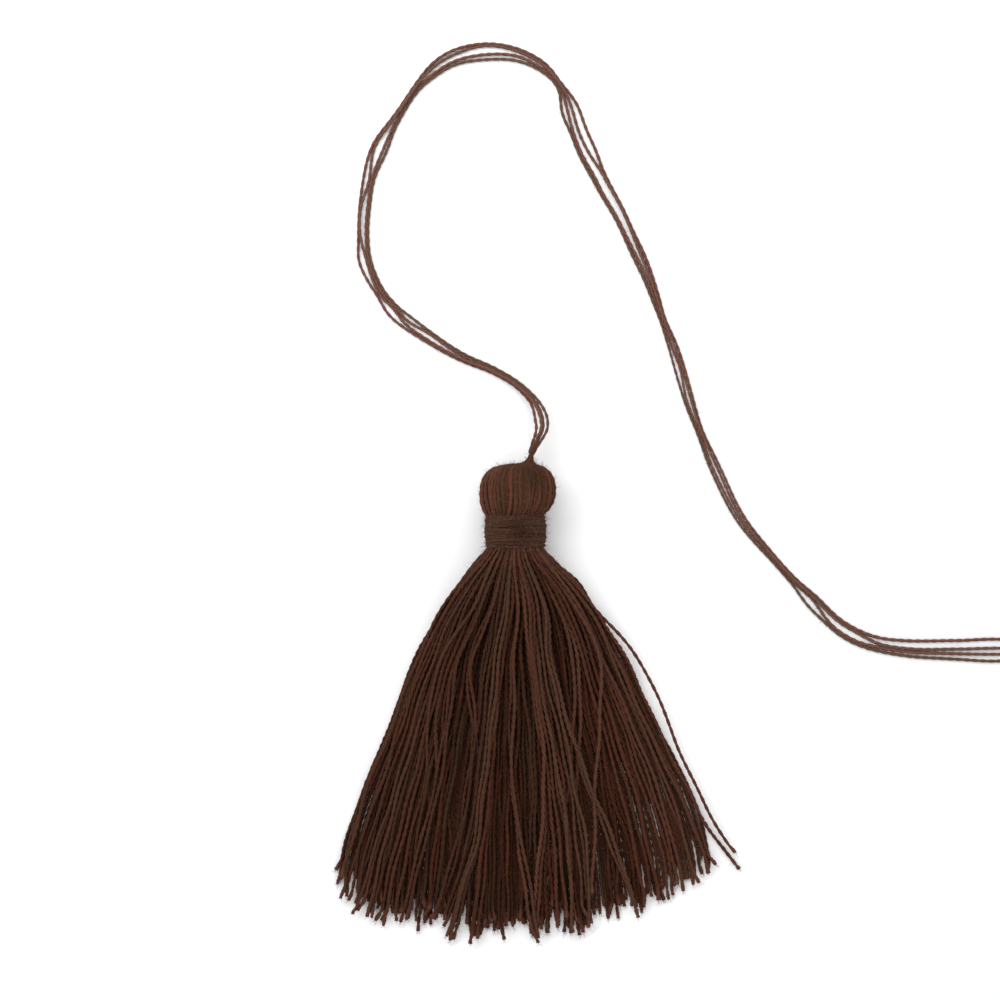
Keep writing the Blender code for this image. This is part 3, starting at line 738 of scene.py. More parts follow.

# The locks on top, from left to right: how many strands each has, how much longer than the hem
# they are, how far it lies over other locks or, below 0, under them, which also sets how light it is
# painted, and its x in millimetres at six distances down from the binding.
LOCK_DOWNS = (6.0, 13.0, 20.0, 27.0, 34.0, 41.0)
LockRow = namedtuple("LockRow", "strands longer over at_6 at_13 at_20 at_27 at_34 at_41")
LOCKS = [LockRow._make(row) for row in (
    (3, 0.0, 0, -9.8, -13.4, -16.0, -18.7, -21.0, -22.3),
    (3, 0.0, 0, -9.2, -12.6, -15.1, -17.3, -19.5, -21.3),
    (3, 0.3, 1, -8.5, -11.6, -13.8, -15.8, -17.9, -19.8),
    (3, 0.0, 0, -7.9, -10.8, -12.7, -14.7, -16.6, -18.2),
    (3, 0.2, 0, -7.3, -10.1, -11.9, -13.7, -15.4, -16.8),
    (1, -1.0, 2, -6.9, -11.0, -12.4, -12.3, -11.3, -10.2),
    (2, -0.8, 1, -6.5, -9.7, -10.9, -10.9, -10.2, -9.3),
    (2, -0.4, 1, -6.1, -8.9, -10.0, -11.2, -12.9, -14.5),
    (2, 0.0, -2, -5.6, -7.9, -8.9, -9.9, -11.4, -12.8),
    (2, -0.8, 1, -5.0, -7.6, -7.3, -6.5, -6.1, -6.4),
    (4, 0.0, 0, -4.1, -5.4, -6.2, -7.0, -8.2, -10.2),
    (3, 0.9, 2, -3.3, -4.5, -5.2, -6.0, -7.1, -8.9),
    (2, 0.4, 1, -2.8, -3.9, -4.7, -5.2, -6.0, -6.7),
    (1, -0.2, -1, -2.4, -3.3, -3.5, -3.5, -3.9, -3.9),
    (2, 0.9, 2, -2.1, -2.7, -2.9, -2.8, -1.8, -0.5),
    (1, -0.4, -1, -1.7, -1.7, -0.8, -0.3, -0.8, -2.3),
    (2, -0.6, 2, -1.3, -0.6, 0.5, 0.9, 0.6, 0.0),
    (4, -0.2, 2, -0.7, -0.1, 1.1, 2.2, 3.0, 3.6),
    (4, -0.2, 3, 0.2, 0.9, 2.4, 3.9, 4.8, 5.3),
    (2, -0.6, 4, 0.8, 1.7, 3.5, 5.7, 8.7, 11.2),
    (3, -0.3, -1, 1.6, 3.2, 4.0, 4.3, 4.7, 5.3),
    (2, -1.2, 2, 2.3, 4.5, 4.7, 4.2, 2.4, -0.2),
    (1, -0.6, -1, 2.8, 4.9, 6.3, 7.5, 8.3, 8.8),
    (3, -0.4, 0, 3.3, 6.0, 8.2, 10.3, 12.1, 13.4),
    (1, -2.2, 4, 4.0, 7.1, 7.2, 6.8, 6.4, 6.1),
    (3, 0.0, 0, 4.2, 7.4, 10.0, 12.5, 14.7, 16.2),
    (3, 0.0, 1, 4.9, 8.5, 11.6, 14.5, 16.9, 18.5),
    (3, 0.0, 0, 5.5, 9.4, 12.6, 16.2, 19.1, 20.8),
    (1, 1.2, 1, 5.9, 10.5, 13.8, 16.9, 20.9, 27.3),
    (1, -0.6, 3, 6.1, 12.0, 15.3, 18.3, 22.3, 26.8),
)]
LOCK_STRANDS = sum(row.strands for row in LOCKS)
STRANDS = SPREAD_STRANDS + LOCK_STRANDS
print(SPREAD_STRANDS, "spread strands and", LOCK_STRANDS, "in", len(LOCKS), "locks")


# %% Where each strand starts
def fan_reach(down):
    """The fan's left and right reach at any distances down, through the table's rows."""
    rows = np.array(FAN) * MM
    return smooth_through(rows[:, 0], rows[:, 1:], down.ravel()).reshape(*down.shape, 2)


def place_roots():
    """Strands packed evenly in the neck's round section, on a sunflower's spiral.

    Strand i is at the radius R sqrt((i + 1/2) / n) and at i golden angles. The lowest ones are
    spread and the others belong to locks, and each set runs from left to right.
    """
    number = np.arange(STRANDS)
    radius = NECK_RADIUS * np.sqrt((number + 0.5) / STRANDS)
    angle = number * math.pi * (3 - math.sqrt(5))
    roots = np.stack([radius * np.cos(angle), radius * np.sin(angle)], axis=-1)
    arched = roots[:, 1] + 0.5 * roots[:, 0] ** 2 / NECK_RADIUS
    by_height = np.argsort(arched)
    layers = np.split(by_height, [CARPET_STRANDS, SPREAD_STRANDS])
    return np.concatenate([roots[layer[np.argsort(roots[layer, 0])]] for layer in layers])


# The fan thins out towards its edges: parts of the strands, and the shares of the fan they fill.
CARPET_FILLS = ((0, 0.045, 0.86, 1), (-0.985, -0.86, 0.62, 0.97))
LOOSE_FILLS = (  # with two valleys between them, left and right of the middle
    (0, 0.353, 0.354, 0.755, 0.756, 0.82, 1),
    (-0.99, -0.41, -0.30, 0.35, 0.47, 0.58, 0.985),
)


def shares_of_spread(draw):
    """Shares of the fan from left to right: even ones for the carpet, and then looser ones."""
    loose = SPREAD_STRANDS - CARPET_STRANDS
    carpet = (np.arange(CARPET_STRANDS) + 0.5) / CARPET_STRANDS
    even = (np.arange(loose) + draw.uniform(0, 1, loose)) / loose
    return np.concatenate([np.interp(carpet, *CARPET_FILLS), np.interp(even, *LOOSE_FILLS)])


draw = np.random.default_rng(23)
roots = place_roots()
spread_share = shares_of_spread(draw)
# How freely each spread strand wanders: half of them a little, half of them a lot.
loose_spread = np.where(draw.random(SPREAD_STRANDS) < 0.5, 0.4, 1.5)
loose_spread[spread_share > 0.42] *= 1.7  # the right side is more tangled
loose_spread[:CARPET_STRANDS] = 0.2
print("the neck holds", STRANDS, "strands in a disc", round(2 * NECK_RADIUS / MM, 1), "mm wide")

# %% The strands' lines before they settle
LOCK_PITCH = 0.52 * MM  # from strand to strand of a lock
LOCK_UNEVEN = 0.16 * MM  # how far each strand is off that pitch, all along it
LOCK_WANDER = 0.12 * MM  # and by how much this changes from knot to knot
SPREAD_WANDER = (0.05, 0.28)  # in millimetres, at the neck and at the hem
FLARE = 1.56  # how much wider the neck's disc is at the third knot
SWAY = 0.10 * MM  # to both sides, in slow waves
CARPET_SWAY = 0.02 * MM  # those at the bottom stay side by side
FAN_END = 48.0  # in millimetres, past the longest strand
KNOTS = np.array([-2.0, -0.4, 1.4, 3.7, *LOCK_DOWNS, FAN_END]) * MM


def spread_paths(draw):
    """x from the axis at each knot: the share times the fan's reach, and a little wander."""
    reach = fan_reach(KNOTS[3:])
    side = np.where(spread_share[:, None] < 0, reach[:, 0], reach[:, 1])
    wander = draw.normal(size=side.shape) * np.linspace(*SPREAD_WANDER, side.shape[1]) * MM
    wander *= (1 - 0.7 * np.abs(spread_share[:, None]) ** 4) * loose_spread[:, None]
    return spread_share[:, None] * side + wander


def lock_paths(draw):
    """x from the axis at each knot: the lock's place, the strand's place in it and a wander."""
    paths = []
    for row in LOCKS:
        places = np.array(row[3:]) * MM - AXIS_X
        places = np.append(places, 2 * places[-1] - places[-2])
        beside = (draw.permutation(row.strands) - (row.strands - 1) / 2)[:, None] * LOCK_PITCH
        beside = beside + LOCK_UNEVEN * draw.normal(size=(row.strands, 1))
        apart = np.linspace(0.6, 1.3, len(places))
        wander = LOCK_WANDER * draw.normal(size=(row.strands, len(places)))
        paths.append(places + (beside + wander) * apart)
    paths = np.concatenate(paths)
    # Just under the neck a strand is about halfway between its root's place and its lock's.
    near_neck = 0.46 * FLARE * roots[SPREAD_STRANDS:, :1] + 0.54 * paths[:, :1]
    return np.concatenate([near_neck, paths], axis=1)


def strand_lines(draw):
    """Each strand as a cubic through its knots, read at equal steps along its own length.

    It starts at its root in the neck. The higher it starts, the further down it comes to rest on
    the pile: z goes from the root's to the pile's by 1 - (1 - t)^2. Sideways it also sways, by a
    sine of 7 to 11 mm that grows in over the first 12 mm.
    """
    paths = np.concatenate([spread_paths(draw), lock_paths(draw)])
    x_knots = AXIS_X + np.concatenate([roots[:, :1] * (0.97, 1, FLARE), paths], axis=1)
    down = np.linspace(-ROOT_INSIDE, FAN_END * MM, 200)
    x = smooth_through(KNOTS, x_knots.T, down).T
    along = np.hypot(np.diff(x, axis=1), np.diff(down))
    along = np.concatenate([np.zeros((STRANDS, 1)), np.cumsum(along, axis=1)], axis=1)
    stops = np.linspace(0, STRAND_LENGTH + ROOT_INSIDE, NODES)
    x = np.stack([np.interp(stops, one, row) for one, row in zip(along, x)])
    y = np.stack([NECK_BOTTOM - np.interp(stops, one, down) for one in along])
    waves = np.random.default_rng(29)  # the sway's own draws
    wave = waves.uniform(7 * MM, 11 * MM, (STRANDS, 1))
    phase = waves.uniform(0, FULL_TURN, (STRANDS, 1))
    sway = np.where(np.arange(STRANDS) < CARPET_STRANDS, CARPET_SWAY, SWAY)[:, None]
    x += sway * ease(stops / (12 * MM)) * np.sin(FULL_TURN * stops / wave + phase)
    fuller = 1 + 0.16 * ease(stops / (2.5 * MM))
    root = NECK_Z + roots[:, 1:] * fuller
    height = (root - NECK_Z) / NECK_RADIUS
    fall = np.clip((stops - 2.5 * MM) / ((16 + 11 * (height + 1)) * MM), 0, 1)
    pile = YARN_RADIUS + layer_height[:, None]
    z = root + (pile - root) * (1 - (1 - fall) ** 2)
    return np.stack([x, y, z], axis=-1), stops


def for_each_lock_strand(values):
    """One value for each lock becomes one for each of its strands."""
    return np.repeat(values, [row.strands for row in LOCKS])


# How high each rests, in front of the carpet: a spread strand by its root, a lock by its row.
layer_height = 0.55 * MM * (1 + roots[:, 1] / NECK_RADIUS)
layer_height[:CARPET_STRANDS] = 0
layer_height[SPREAD_STRANDS:] = for_each_lock_strand([1.35 + 0.45 * row.over for row in LOCKS]) * MM
lines, stops = strand_lines(draw)
# Strands are pressed to 0.36 mm in the neck and have 0.48 mm each from 8 mm down.
apart = (0.36 + 0.12 * ease(stops / (8 * MM))) * MM
rounds = 130
laid = settle(lines.transpose(1, 0, 2), apart, np.full(NODES, YARN_RADIUS), rounds, hold=0.1)
lines = laid.transpose(1, 0, 2)
print("after settling the tips are up to", round(lines[:, -1, 2].max() / MM, 2), "mm high")

# %% How long each strand is
HEM_LEFT = 21.0 * MM  # from the axis to the fan's edges, close to the tips
HEM_RIGHT = 25.0 * MM

hem = np.array(HEM)
tip_x = lines[:, -3, 0] - AXIS_X
tip_share = tip_x / np.where(lines[:, -3, 0] < AXIS_X, HEM_LEFT, HEM_RIGHT)
lengths = np.interp(tip_share, hem[:, 0], hem[:, 1]) * MM
lengths -= UNEVEN_CUT * draw.random(STRANDS) ** 1.5
lengths[:SPREAD_STRANDS] -= draw.uniform(0.3 * MM, SPREAD_SHORTER, SPREAD_STRANDS)
lengths[SPREAD_STRANDS:] += for_each_lock_strand([row.longer for row in LOCKS]) * MM
print("the strands are", round(lengths.min() / MM, 1), "to", round(lengths.max() / MM, 1), "mm long")

# %% Strands as meshes
STATIONS = (94, 142, 142, 142)  # of a strand, in each piece
FRAY = 1.6 * MM  # the plies loosen over the last of each strand
KINK = 0.22 * MM  # how far the tips bend aside


def skirt_piece(name, stations, nodes, strand_lengths, tone_and_shade, dye, draw):
    """Strands of one layer as a piece: read finely, twisted, a little loose at the cut."""
    count = len(nodes)
    node_step = (STRAND_LENGTH + ROOT_INSIDE) / (NODES - 1)
    whole = strand_lengths[:, None] + ROOT_INSIDE
    distance = whole * np.linspace(0, 1, stations)
    centres = smooth_yarns(nodes, distance / node_step)
    to_tip = whole - distance
    loosened = 1 - ease(to_tip / FRAY)
    kink = KINK * draw.normal(size=(count, 1, 2))
    centres[..., :2] += kink * loosened[..., None] ** 2
    tight = 0.94 + 0.06 * ease((distance - ROOT_INSIDE) / (6 * MM))
    thick = draw.uniform(0.84, 1.02, (count, 1))
    waves = 1 + 0.05 * np.sin(FULL_TURN * distance / (3.7 * MM) + draw.uniform(0, 6, (count, 1)))
    scale = tight * thick * waves * (1 + 0.12 * loosened)
    pitch = draw.uniform(0.88, 1.14, (count, 1)) * TWIST_PITCH
    turn = draw.uniform(0, FULL_TURN, (count, 1)) - 1.2 * loosened
    rings = above_floor(yarn_rings(centres, scale=scale, turn=turn, pitch=pitch))
    made = yarn_object(name, rings, tone_and_shade, loosened, dye)
    print(name, "has", count, "strands and", triangle_count(made), "triangles")
    return made, centres


# %% How light each strand is painted, and the skirt's four pieces
# 0 is the deepest shade and 1 the palest: a random tone of the yarn, and painted shade over it. The
# carpet and the strands under the locks are painted darkest, as shade under the others. A lock that
# lies over others is painted lighter, as the light it catches, and one that lies low is painted in
# their shade.
tone_and_shade = draw.uniform(0.0, 0.26, STRANDS)
tone_and_shade[:CARPET_STRANDS] *= 0.4
lock_tone_and_shade = np.array([min(0.40 + 0.20 * row.over, 1.0) for row in LOCKS])
lock_tone_and_shade += draw.uniform(-0.08, 0.12, len(LOCKS))
tone_and_shade[SPREAD_STRANDS:] = for_each_lock_strand(lock_tone_and_shade)
tone_and_shade[SPREAD_STRANDS:] += draw.uniform(-0.15, 0.15, LOCK_STRANDS)
# The outer strands lie alone on the light surface, so they are painted lighter, as its light.
tone_and_shade += np.interp(tip_share, (-1, -0.75, 0.5, 0.9), (0.30, 0, 0, 0.45))
dye = draw.random(STRANDS)
dye[SPREAD_STRANDS:] = 0.6 * for_each_lock_strand(draw.random(len(LOCKS)))
dye[SPREAD_STRANDS:] += 0.4 * draw.random(LOCK_STRANDS)
above_carpet = CARPET_STRANDS + np.argsort(layer_height[CARPET_STRANDS:])
layers = [np.arange(CARPET_STRANDS), *np.array_split(above_carpet, 3)]
skirt = []
skirt_lines = []
names = ("skirt_bottom", "skirt_lower", "skirt_upper", "skirt_top")
for name, stations, some in zip(names, STATIONS, layers):
    own = (lines[some], lengths[some], tone_and_shade[some], dye[some])
    piece, centres = skirt_piece(name, stations, *own, draw)
    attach(piece, "root")
    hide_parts("head_and_skirt")
    skirt.append(piece)
    skirt_lines.append(centres)

# %% [markdown]
# ## The head
# Above the binding the hank is folded over the cord, so its yarns run up the front, over the top
# and down the back. Each yarn follows one meridian of the head's shape. They are pressed together
# there, so they are thinner than in the skirt, and a core behind them closes the gaps, painted in
# the yarns' darkest colours as the shade between them.

# %% The head's shape
# In millimetres: y, and there the middle's x, half the width, half the height and the middle's z.
HEAD = (
    (17.2, -2.45, 2.65, 2.65, 3.72), (20.6, -2.45, 2.70, 2.70, 3.72), (21.35, -2.40, 3.02, 3.00, 3.76),
    (22.00, -2.22, 3.45, 3.45, 3.84), (22.90, -2.08, 3.82, 3.85, 3.94), (24.00, -2.01, 3.98, 4.00, 3.95),
    (25.00, -2.00, 3.92, 3.92, 3.95), (25.80, -1.98, 3.62, 3.55, 3.96), (26.45, -1.95, 3.05, 2.95, 3.99),
    (26.82, -1.85, 2.30, 2.20, 4.02), (27.04, -1.56, 1.52, 1.36, 4.05), (27.26, -0.92, 0.66, 0.66, 4.07),
    (27.68, -0.72, 0.37, 0.38, 4.09), (28.40, -0.58, 0.18, 0.18, 4.10),
)
HEAD_STATIONS = 72
head_rows = np.array(HEAD) * MM
head_profile = np.stack([head_rows[:, 0], head_rows[:, 2]], axis=-1)
head_knots = along_path(head_profile)


def head_shape(at):
    """The head's rows at any distances along its outline: (stations, 5)."""
    return smooth_through(head_knots, head_rows, at)


def head_surface(at, angle, out=0.0):
    """A point of the head: middle + (half size + out) * (cos angle, sin angle)."""
    y, x, half_width, half_height, z = np.moveaxis(at, -1, 0)
    x = x + (half_width + out) * np.cos(angle)
    z = z + (half_height + out) * np.sin(angle)
    return np.stack([x, y + 0 * angle, z], axis=-1)


print("the head's outline is", round(head_knots[-1] / MM, 1), "mm long")

# %% The head's yarns
HEAD_YARNS = 96
HEAD_YARN_SCALE = 0.80


def head_yarn_lines(draw):
    """Meridians of the head, with bulges, bends and a dip where a yarn ends early.

    The angle round the head is the yarn's own plus a bend, widest halfway, and a ripple. Three of
    every four yarns stop short of the peak and dip under the fourth, because fewer fit there. One
    lump at the left is broader and higher than the others.
    """
    number = np.arange(HEAD_YARNS)[:, None]
    t = np.linspace(0, 1, HEAD_STATIONS)[None]
    stop = np.choose(number % 4, (1.0, 0.85, 0.91, 0.82)) + 0.02 * draw.normal(size=number.shape)
    distance = np.minimum(stop, 1.0) * t * head_knots[-1]
    shape = head_shape(distance.ravel()).reshape(*distance.shape, 5)
    own = FULL_TURN * (number + 0.30 * draw.normal(size=number.shape)) / HEAD_YARNS
    bend = 0.05 * draw.normal(size=number.shape) * np.sin(math.pi * t)
    ripple = 0.035 * np.sin(FULL_TURN * (1.4 * t + draw.random(number.shape)))
    angle = own + bend + ripple
    lump = 0.13 * MM * draw.normal(size=number.shape) * np.sin(math.pi * t) ** 2
    left_lump = 0.30 * MM * np.exp(-(((own - math.pi + 0.25) / 0.30) ** 2)) * np.sin(math.pi * t) ** 2
    dip = 0.45 * MM * ease((t - 0.88) / 0.12) * (number % 4 > 0)
    line = head_surface(shape, angle, lump + left_lump - dip - 0.05 * MM)
    tangent = np.stack([-np.sin(angle), 0 * angle, np.cos(angle)], axis=-1)
    room = FULL_TURN * np.maximum(shape[..., 2], 0.2 * MM) / HEAD_YARNS / (0.9 * YARN_RADIUS)
    return line, tangent, np.clip(room, 0.34, 1) * HEAD_YARN_SCALE


draw = np.random.default_rng(31)
head_lines, head_up, head_scale = head_yarn_lines(draw)
head_scale = head_scale * draw.uniform(0.9, 1.1, (HEAD_YARNS, 1))
head_rings = yarn_rings(
    head_lines,
    up=head_up,
    scale=head_scale,
    turn=draw.uniform(0, FULL_TURN, (HEAD_YARNS, 1)),
    pitch=draw.uniform(0.9, 1.2, (HEAD_YARNS, 1)) * TWIST_PITCH,
)
head = yarn_object("head_yarns", above_floor(head_rings), draw.uniform(0.4, 0.8, HEAD_YARNS))
print("the head has", triangle_count(head), "triangles")

# %% The core behind them
CORE_SIDES = 72
CORE_STATIONS = 60
CORE_IN = 0.02 * MM  # how far behind the yarns' middles

core_at = head_shape(np.linspace(0, head_knots[-1], CORE_STATIONS))[:, None]
core_angle = -FULL_TURN * np.arange(CORE_SIDES) / CORE_SIDES
core_rings = head_surface(core_at, core_angle[None] + np.zeros((CORE_STATIONS, 1)), -CORE_IN)
core_quads, core_ends = ring_faces(1, CORE_STATIONS, CORE_SIDES)
core_middles = core_rings[[0, -1]].mean(axis=1)
core_points = np.concatenate([core_rings.reshape(-1, 3), core_middles])
core_points[:, 2] = np.maximum(core_points[:, 2], 0.05 * MM)
core = fill_mesh("head_core", core_points, core_quads, core_ends)
for piece in [head, core]:
    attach(piece, "root")
    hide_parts("head_and_skirt")
print("the core has", triangle_count(core), "triangles")

# %% [markdown]
# ## The binding
# A dark yarn is wound closely round the neck, and its last turns slant across the first ones to
# lock them. Each row of a table is one winding from one height to another, and one piece.

# %% The binding
BindingRow = namedtuple("BindingRow", "start end first_angle turns radius")
BINDING = [BindingRow._make(row) for row in (
    (21.15, 17.70, 0.00, 11.6, 2.98),
    (17.75, 21.10, 0.30, 10.4, 3.14),
    (21.05, 17.80, 0.85, 8.3, 3.20),
    (18.10, 20.85, 0.60, 3.2, 3.24),
    (20.90, 18.20, 0.20, 2.3, 3.26),
    (19.00, 20.60, 0.32, 0.9, 3.28),
)]
BINDING_STEP = 0.22 * MM
BINDING_SCALE = 0.84
BINDING_DIP = 0.35 * MM  # how far both ends of a winding tuck in
BARREL = 0.10 * MM  # how far the wraps stand out halfway along the neck


def binding_rings(row, draw):
    """One row of the table as a winding, whose ends dip under the other turns."""
    length = FULL_TURN * row.radius * row.turns * MM
    t = np.linspace(0, 1, round(length / BINDING_STEP))
    angle = FULL_TURN * (row.first_angle + row.turns * t)
    from_end = np.minimum(t, 1 - t) * length
    radius = row.radius * MM - BINDING_DIP * (1 - ease(from_end / (1.6 * MM)))
    along = (row.start + (row.end - row.start) * t) * MM
    middle = (NECK_BOTTOM + NECK_TOP) / 2
    radius = radius + BARREL * (1 - ((along - middle) / (1.9 * MM)) ** 2)
    radius = radius + 0.03 * MM * np.sin(3 * angle + row.start)
    along = along + 0.05 * MM * np.sin(2.3 * angle + row.end)
    line, spoke = wound(np.array([AXIS_X, 0, NECK_Z]), (0, 1, 0), angle, radius, along)
    return yarn_rings(line[None], up=spoke[None], scale=BINDING_SCALE, turn=draw.random((1, 1)) * 6)


draw = np.random.default_rng(41)
binding = []
for number, row in enumerate(BINDING):
    rings = above_floor(binding_rings(row, draw))
    binding.append(yarn_object(f"binding_yarn_{number}", rings, draw.uniform(0.35, 0.8, 1)))
for piece in binding:
    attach(piece, "root")
    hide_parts("neck_binding")
print("the binding has", sum(triangle_count(piece) for piece in binding), "triangles")

# %% [markdown]
# ## Loose fibres
# Cotton is spun from short fibres, and their ends stand out all over a yarn. They soften the
# outline of the head and the neck most. Each is a three-sided thread with three stations, so
# nearly ten thousand of them stay one light piece. They start on the yarns' own lines and bend
# away from them, and a few more stand at each cut end.

# %% Loose fibres
FIBRE_RADIUS = 0.017 * MM
FIBRE_STATIONS = 3
FuzzRow = namedtuple("FuzzRow", "count shortest longest outwards")
FUZZ = {
    "cord": FuzzRow(900, 0.2, 0.6, 0.6),
    "skirt": FuzzRow(1300, 0.2, 0.7, 0.5),
    "neck": FuzzRow(1300, 0.3, 0.8, 1.0),
    "head": FuzzRow(1900, 0.2, 0.6, 1.5),
    "head_sides": FuzzRow(1400, 0.2, 0.6, 1.5),
    "binding": FuzzRow(1300, 0.2, 0.7, 1.2),
}
TIP_FIBRES = 6  # at each cut end


def fibre_object(name, origins, ways, lengths, draw):
    """Thin threads: origin + length * (t * way + t^2 * bend), as three-sided tubes."""
    t = np.linspace(0, 1, FIBRE_STATIONS)[None, :, None]
    bend = 0.45 * draw.normal(size=ways.shape)
    line = origins[:, None] + lengths[:, None, None] * (t * ways[:, None] + t**2 * bend[:, None])
    heading = unit(np.gradient(line, axis=1))
    aside = unit(np.cross(heading, draw.normal(size=(len(origins), 1, 3))))
    above = np.cross(aside, heading)
    angle = FULL_TURN * np.arange(3) / 3
    spoke = np.cos(angle)[:, None] * aside[:, :, None] + np.sin(angle)[:, None] * above[:, :, None]
    taper = 1 - 0.6 * t[..., None]
    rings = above_floor(line[:, :, None] + FIBRE_RADIUS * taper * spoke)
    return yarn_object(name, rings, draw.uniform(0.4, 0.9, len(origins)))


def fibre_starts(centres, row, draw):
    """Random places on a piece's yarns, and ways that leave them outwards and along."""
    centres = centres.reshape(-1, *centres.shape[-2:])
    yarn = draw.integers(0, centres.shape[0], row.count)
    station = draw.integers(1, centres.shape[1] - 1, row.count)
    heading = unit(centres[yarn, station + 1] - centres[yarn, station - 1])
    ways = unit(row.outwards * draw.normal(size=(row.count, 3)) + heading)
    lengths = draw.uniform(row.shortest, row.longest, row.count) * MM
    return centres[yarn, station] + ways * 0.1 * MM, ways, lengths


draw = np.random.default_rng(53)
skirt_centres = np.concatenate(skirt_lines[1:])
skirt_ends = np.concatenate([centres[:, [-4, -1]] for centres in skirt_lines])
binding_angle = np.linspace(0, 9 * FULL_TURN, 900)
binding_along = np.linspace(NECK_BOTTOM, NECK_TOP, 900)
binding_radius = np.full(900, 3.35 * MM)
neck = np.array([AXIS_X, 0, NECK_Z])
binding_line, _ = wound(neck, (0, 1, 0), binding_angle, binding_radius, binding_along)
side_yarns = np.abs(np.cos(FULL_TURN * np.arange(HEAD_YARNS) / HEAD_YARNS)) > 0.8
sources = {
    "cord": cord_yarns,
    "skirt": skirt_centres,
    "neck": skirt_centres[:, :20],
    "head": head_lines,
    "head_sides": head_lines[side_yarns],
    "binding": binding_line[None],
}
starts = [fibre_starts(sources[name], row, draw) for name, row in FUZZ.items()]
tips = np.repeat(skirt_ends[:, 1], TIP_FIBRES, axis=0)
tip_ways = unit(np.repeat(skirt_ends[:, 1] - skirt_ends[:, 0], TIP_FIBRES, axis=0))
tip_ways = unit(tip_ways + 0.28 * draw.normal(size=tip_ways.shape))
tips = tips + 0.08 * MM * draw.normal(size=tips.shape)
starts.append((tips, tip_ways, draw.uniform(0.15, 0.55, len(tips)) * MM))
fuzz = fibre_object("loose_fibres", *(np.concatenate(part) for part in zip(*starts)), draw)
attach(fuzz, "root")
print("the loose fibres have", triangle_count(fuzz), "triangles")

# %% [markdown]
# ## The finish of the yarn
# Dyed cotton is matt, with a faint warm bloom at grazing angles from its fibres. Up close a yarn
# is streaked, because the fibres lie slanted across each ply, and pale specks are painted on it as
# glints of its fibres. How light a yarn is, by its own tone and in the skirt by painted shade, and
# whether its dye is a reddish brown or an olive one, are numbers that its mesh carries. Grooves
# between the plies get painted shade, and a cut tip is paler. Each part also has one soft painted
# spot: painted light on the skirt under the binding, and painted shade at the head's top, in the
# middle of the binding and where the cord leaves the head. The streaks follow the yarn by its own
# map. The slow changes of the dye, the painted glints and the spots use Object coordinates. The
# cord's finish is the lightest one: the same cotton, painted lighter as the light from the white
# surface around it. The loose fibres take it too, as painted light, because they are so thin that
# light passes through them.

# %% Yarn materials
# A painted spot is painted light where its lighter value is above 0 and painted shade where it is
# below, up to its inner radius, and fades out to its outer one.
Spot = namedtuple("Spot", "middle inner outer lighter")
YarnLook = namedtuple("YarnLook", "deep pale red olive tip spot")
SKIRT_LOOK = YarnLook(
    (0.0260, 0.0086, 0.0036, 1),
    (0.0900, 0.0370, 0.0225, 1),
    (0.0900, 0.0235, 0.0125, 1),
    (0.0520, 0.0285, 0.0145, 1),
    (0.1300, 0.0500, 0.0340, 1),
    # Painted light on the skirt's shoulder under the binding.
    Spot((-0.0024, 0.0175, 0.006), 0.001, 0.010, 0.22),
)
HEAD_LOOK = YarnLook(
    (0.0420, 0.0160, 0.0080, 1),
    (0.1240, 0.0500, 0.0305, 1),
    (0.1150, 0.0350, 0.0195, 1),
    (0.0520, 0.0270, 0.0145, 1),
    (0.1300, 0.0520, 0.0360, 1),
    # Painted shade at the head's top, where its yarns gather to the peak.
    Spot((-0.0010, 0.0262, 0.0066), 0.0010, 0.0034, -0.42),
)
BINDING_LOOK = YarnLook(
    (0.0260, 0.0105, 0.0055, 1),
    (0.0860, 0.0410, 0.0260, 1),
    (0.0600, 0.0210, 0.0130, 1),
    (0.0500, 0.0310, 0.0180, 1),
    (0.1000, 0.0500, 0.0360, 1),
    # Painted shade in the middle of the binding.
    Spot((-0.0018, 0.0195, 0.0072), 0.0004, 0.0019, -0.30),
)
# The cord is the same cotton as the skirt, painted much paler as the light from the white surface all round
# it.
CORD_PAINTED_LIGHT_LOOK = YarnLook(
    (0.0520, 0.0230, 0.0150, 1),
    (0.2250, 0.1250, 0.0920, 1),
    (0.1900, 0.0680, 0.0500, 1),
    (0.1150, 0.0800, 0.0490, 1),
    (0.2300, 0.1300, 0.1000, 1),
    # Painted shade where the cord leaves the head.
    Spot((-0.0006, 0.0275, 0.005), 0.0010, 0.0040, -0.35),
)


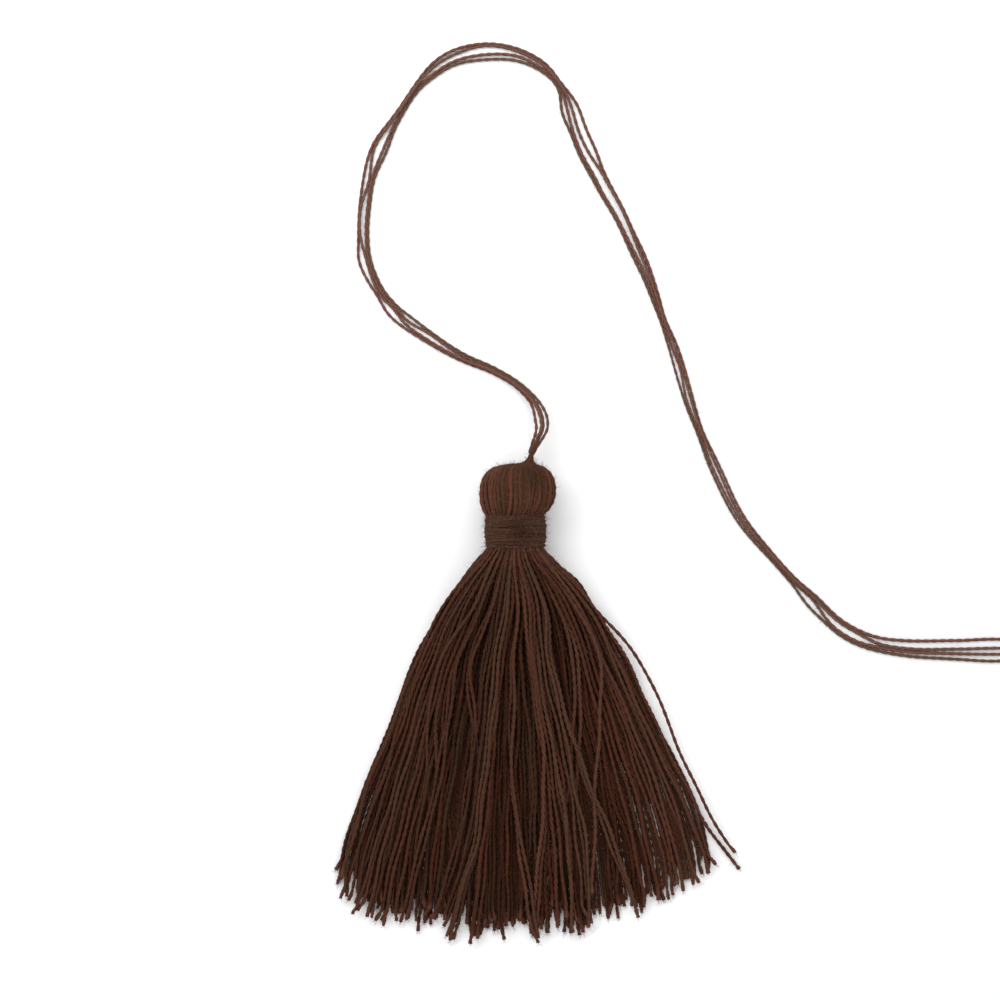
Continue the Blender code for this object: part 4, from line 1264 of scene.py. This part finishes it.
def yarn_material(name, look):
    """A sum says how far from deep to pale the colour is, and the dye mixes in red and olive.

    The sum adds streaks, the tone with its painted shade, patches, painted glints and the painted
    spot, and takes away the groove as painted shade.
    """
    shader = Shader(name)
    along_yarn = shader.node("ShaderNodeUVMap", {"uv_map": "yarn"})
    place = shader.node("ShaderNodeTexCoord", output="Object")
    # The yarn's own tone, with painted shade in the skirt.
    tone_and_shade = shader.attribute("tone_and_shade")
    dye = shader.attribute("dye")
    groove = shader.attribute("groove")
    tip = shader.attribute("tip")
    slanted = shader.node(
        "ShaderNodeMapping",
        {"vector_type": "POINT"},
        {"Vector": along_yarn, "Rotation": (0, 0, 0.5), "Scale": (12, 3.0, 1)},
    )
    streaks = shader.noise(slanted, 1.0, detail=4.0, roughness=0.65)
    drift = shader.noise(place, 330.0, detail=2.0)
    patches = shader.noise(place, 900.0, detail=2.0)
    # Painted glints: pale specks where fibres would catch the light.
    painted_glints = shader.between(shader.noise(place, 5200.0, detail=1.0), 0.50, 0.74)
    ends = {0: place, 1: look.spot.middle}
    away = shader.node("ShaderNodeVectorMath", {"operation": "DISTANCE"}, ends, output="Value")
    # The painted spot: painted light or painted shade by the sign of its value.
    spot = look.spot.lighter * (1 - shader.between(away, look.spot.inner, look.spot.outer))
    # The groove is taken away as painted shade between the plies.
    light = 0.48 * streaks + 0.75 * tone_and_shade + 0.18 * patches + 0.30 * painted_glints - 0.28 * groove + spot
    colour = shader.mix(shader.between(light, 0.34, 1.14), look.deep, look.pale)
    took = dye + 0.9 * drift - 0.45
    colour = shader.mix(shader.between(took, 0.50, 0.90) * 0.48, colour, look.red)
    colour = shader.mix(shader.between(took, 0.45, 0.08) * 0.50, colour, look.olive)
    colour = shader.mix(tip * 0.55, colour, look.tip)
    relief = {"Strength": 0.55, "Distance": 0.05 * MM, "Height": streaks}
    bump = shader.node("ShaderNodeBump", inputs=relief)
    return shader.finish(
        Base_Color=colour,
        Normal=bump,
        Roughness=0.92,
        Specular_IOR_Level=0.06,
        Sheen_Weight=0.07,
        Sheen_Roughness=0.4,
        Sheen_Tint=(0.9, 0.5, 0.38, 1),
    )


def core_painted_shade_material():
    """The core shows only in gaps between the head's yarns: a grain of their darker colours, as painted
    shade.
    """
    shader = Shader("pressed_yarn_painted_shade")
    place = shader.node("ShaderNodeTexCoord", output="Object")
    grain = shader.noise(shader.stretched(place, (2600, 500, 2600)), 1.0, detail=3.0)
    relief = {"Strength": 0.6, "Distance": 0.1 * MM, "Height": grain}
    bump = shader.node("ShaderNodeBump", inputs=relief)
    # Painted shade: the core takes the head's darkest colours.
    colour = shader.mix(grain, HEAD_LOOK.deep, HEAD_LOOK.olive)
    return shader.finish(Base_Color=colour, Normal=bump, Roughness=0.95, Specular_IOR_Level=0.05)


skirt_finish = yarn_material("skirt_cotton", SKIRT_LOOK)
head_finish = yarn_material("head_cotton", HEAD_LOOK)
binding_finish = yarn_material("binding_cotton", BINDING_LOOK)
cord_painted_light_finish = yarn_material("cord_cotton_painted_light", CORD_PAINTED_LIGHT_LOOK)
for piece in skirt:
    piece.data.materials.append(skirt_finish)
head.data.materials.append(head_finish)
core.data.materials.append(core_painted_shade_material())
for piece in binding:
    piece.data.materials.append(binding_finish)
for piece in (cord, tie, knot, fuzz):
    piece.data.materials.append(cord_painted_light_finish)
print("five finishes")
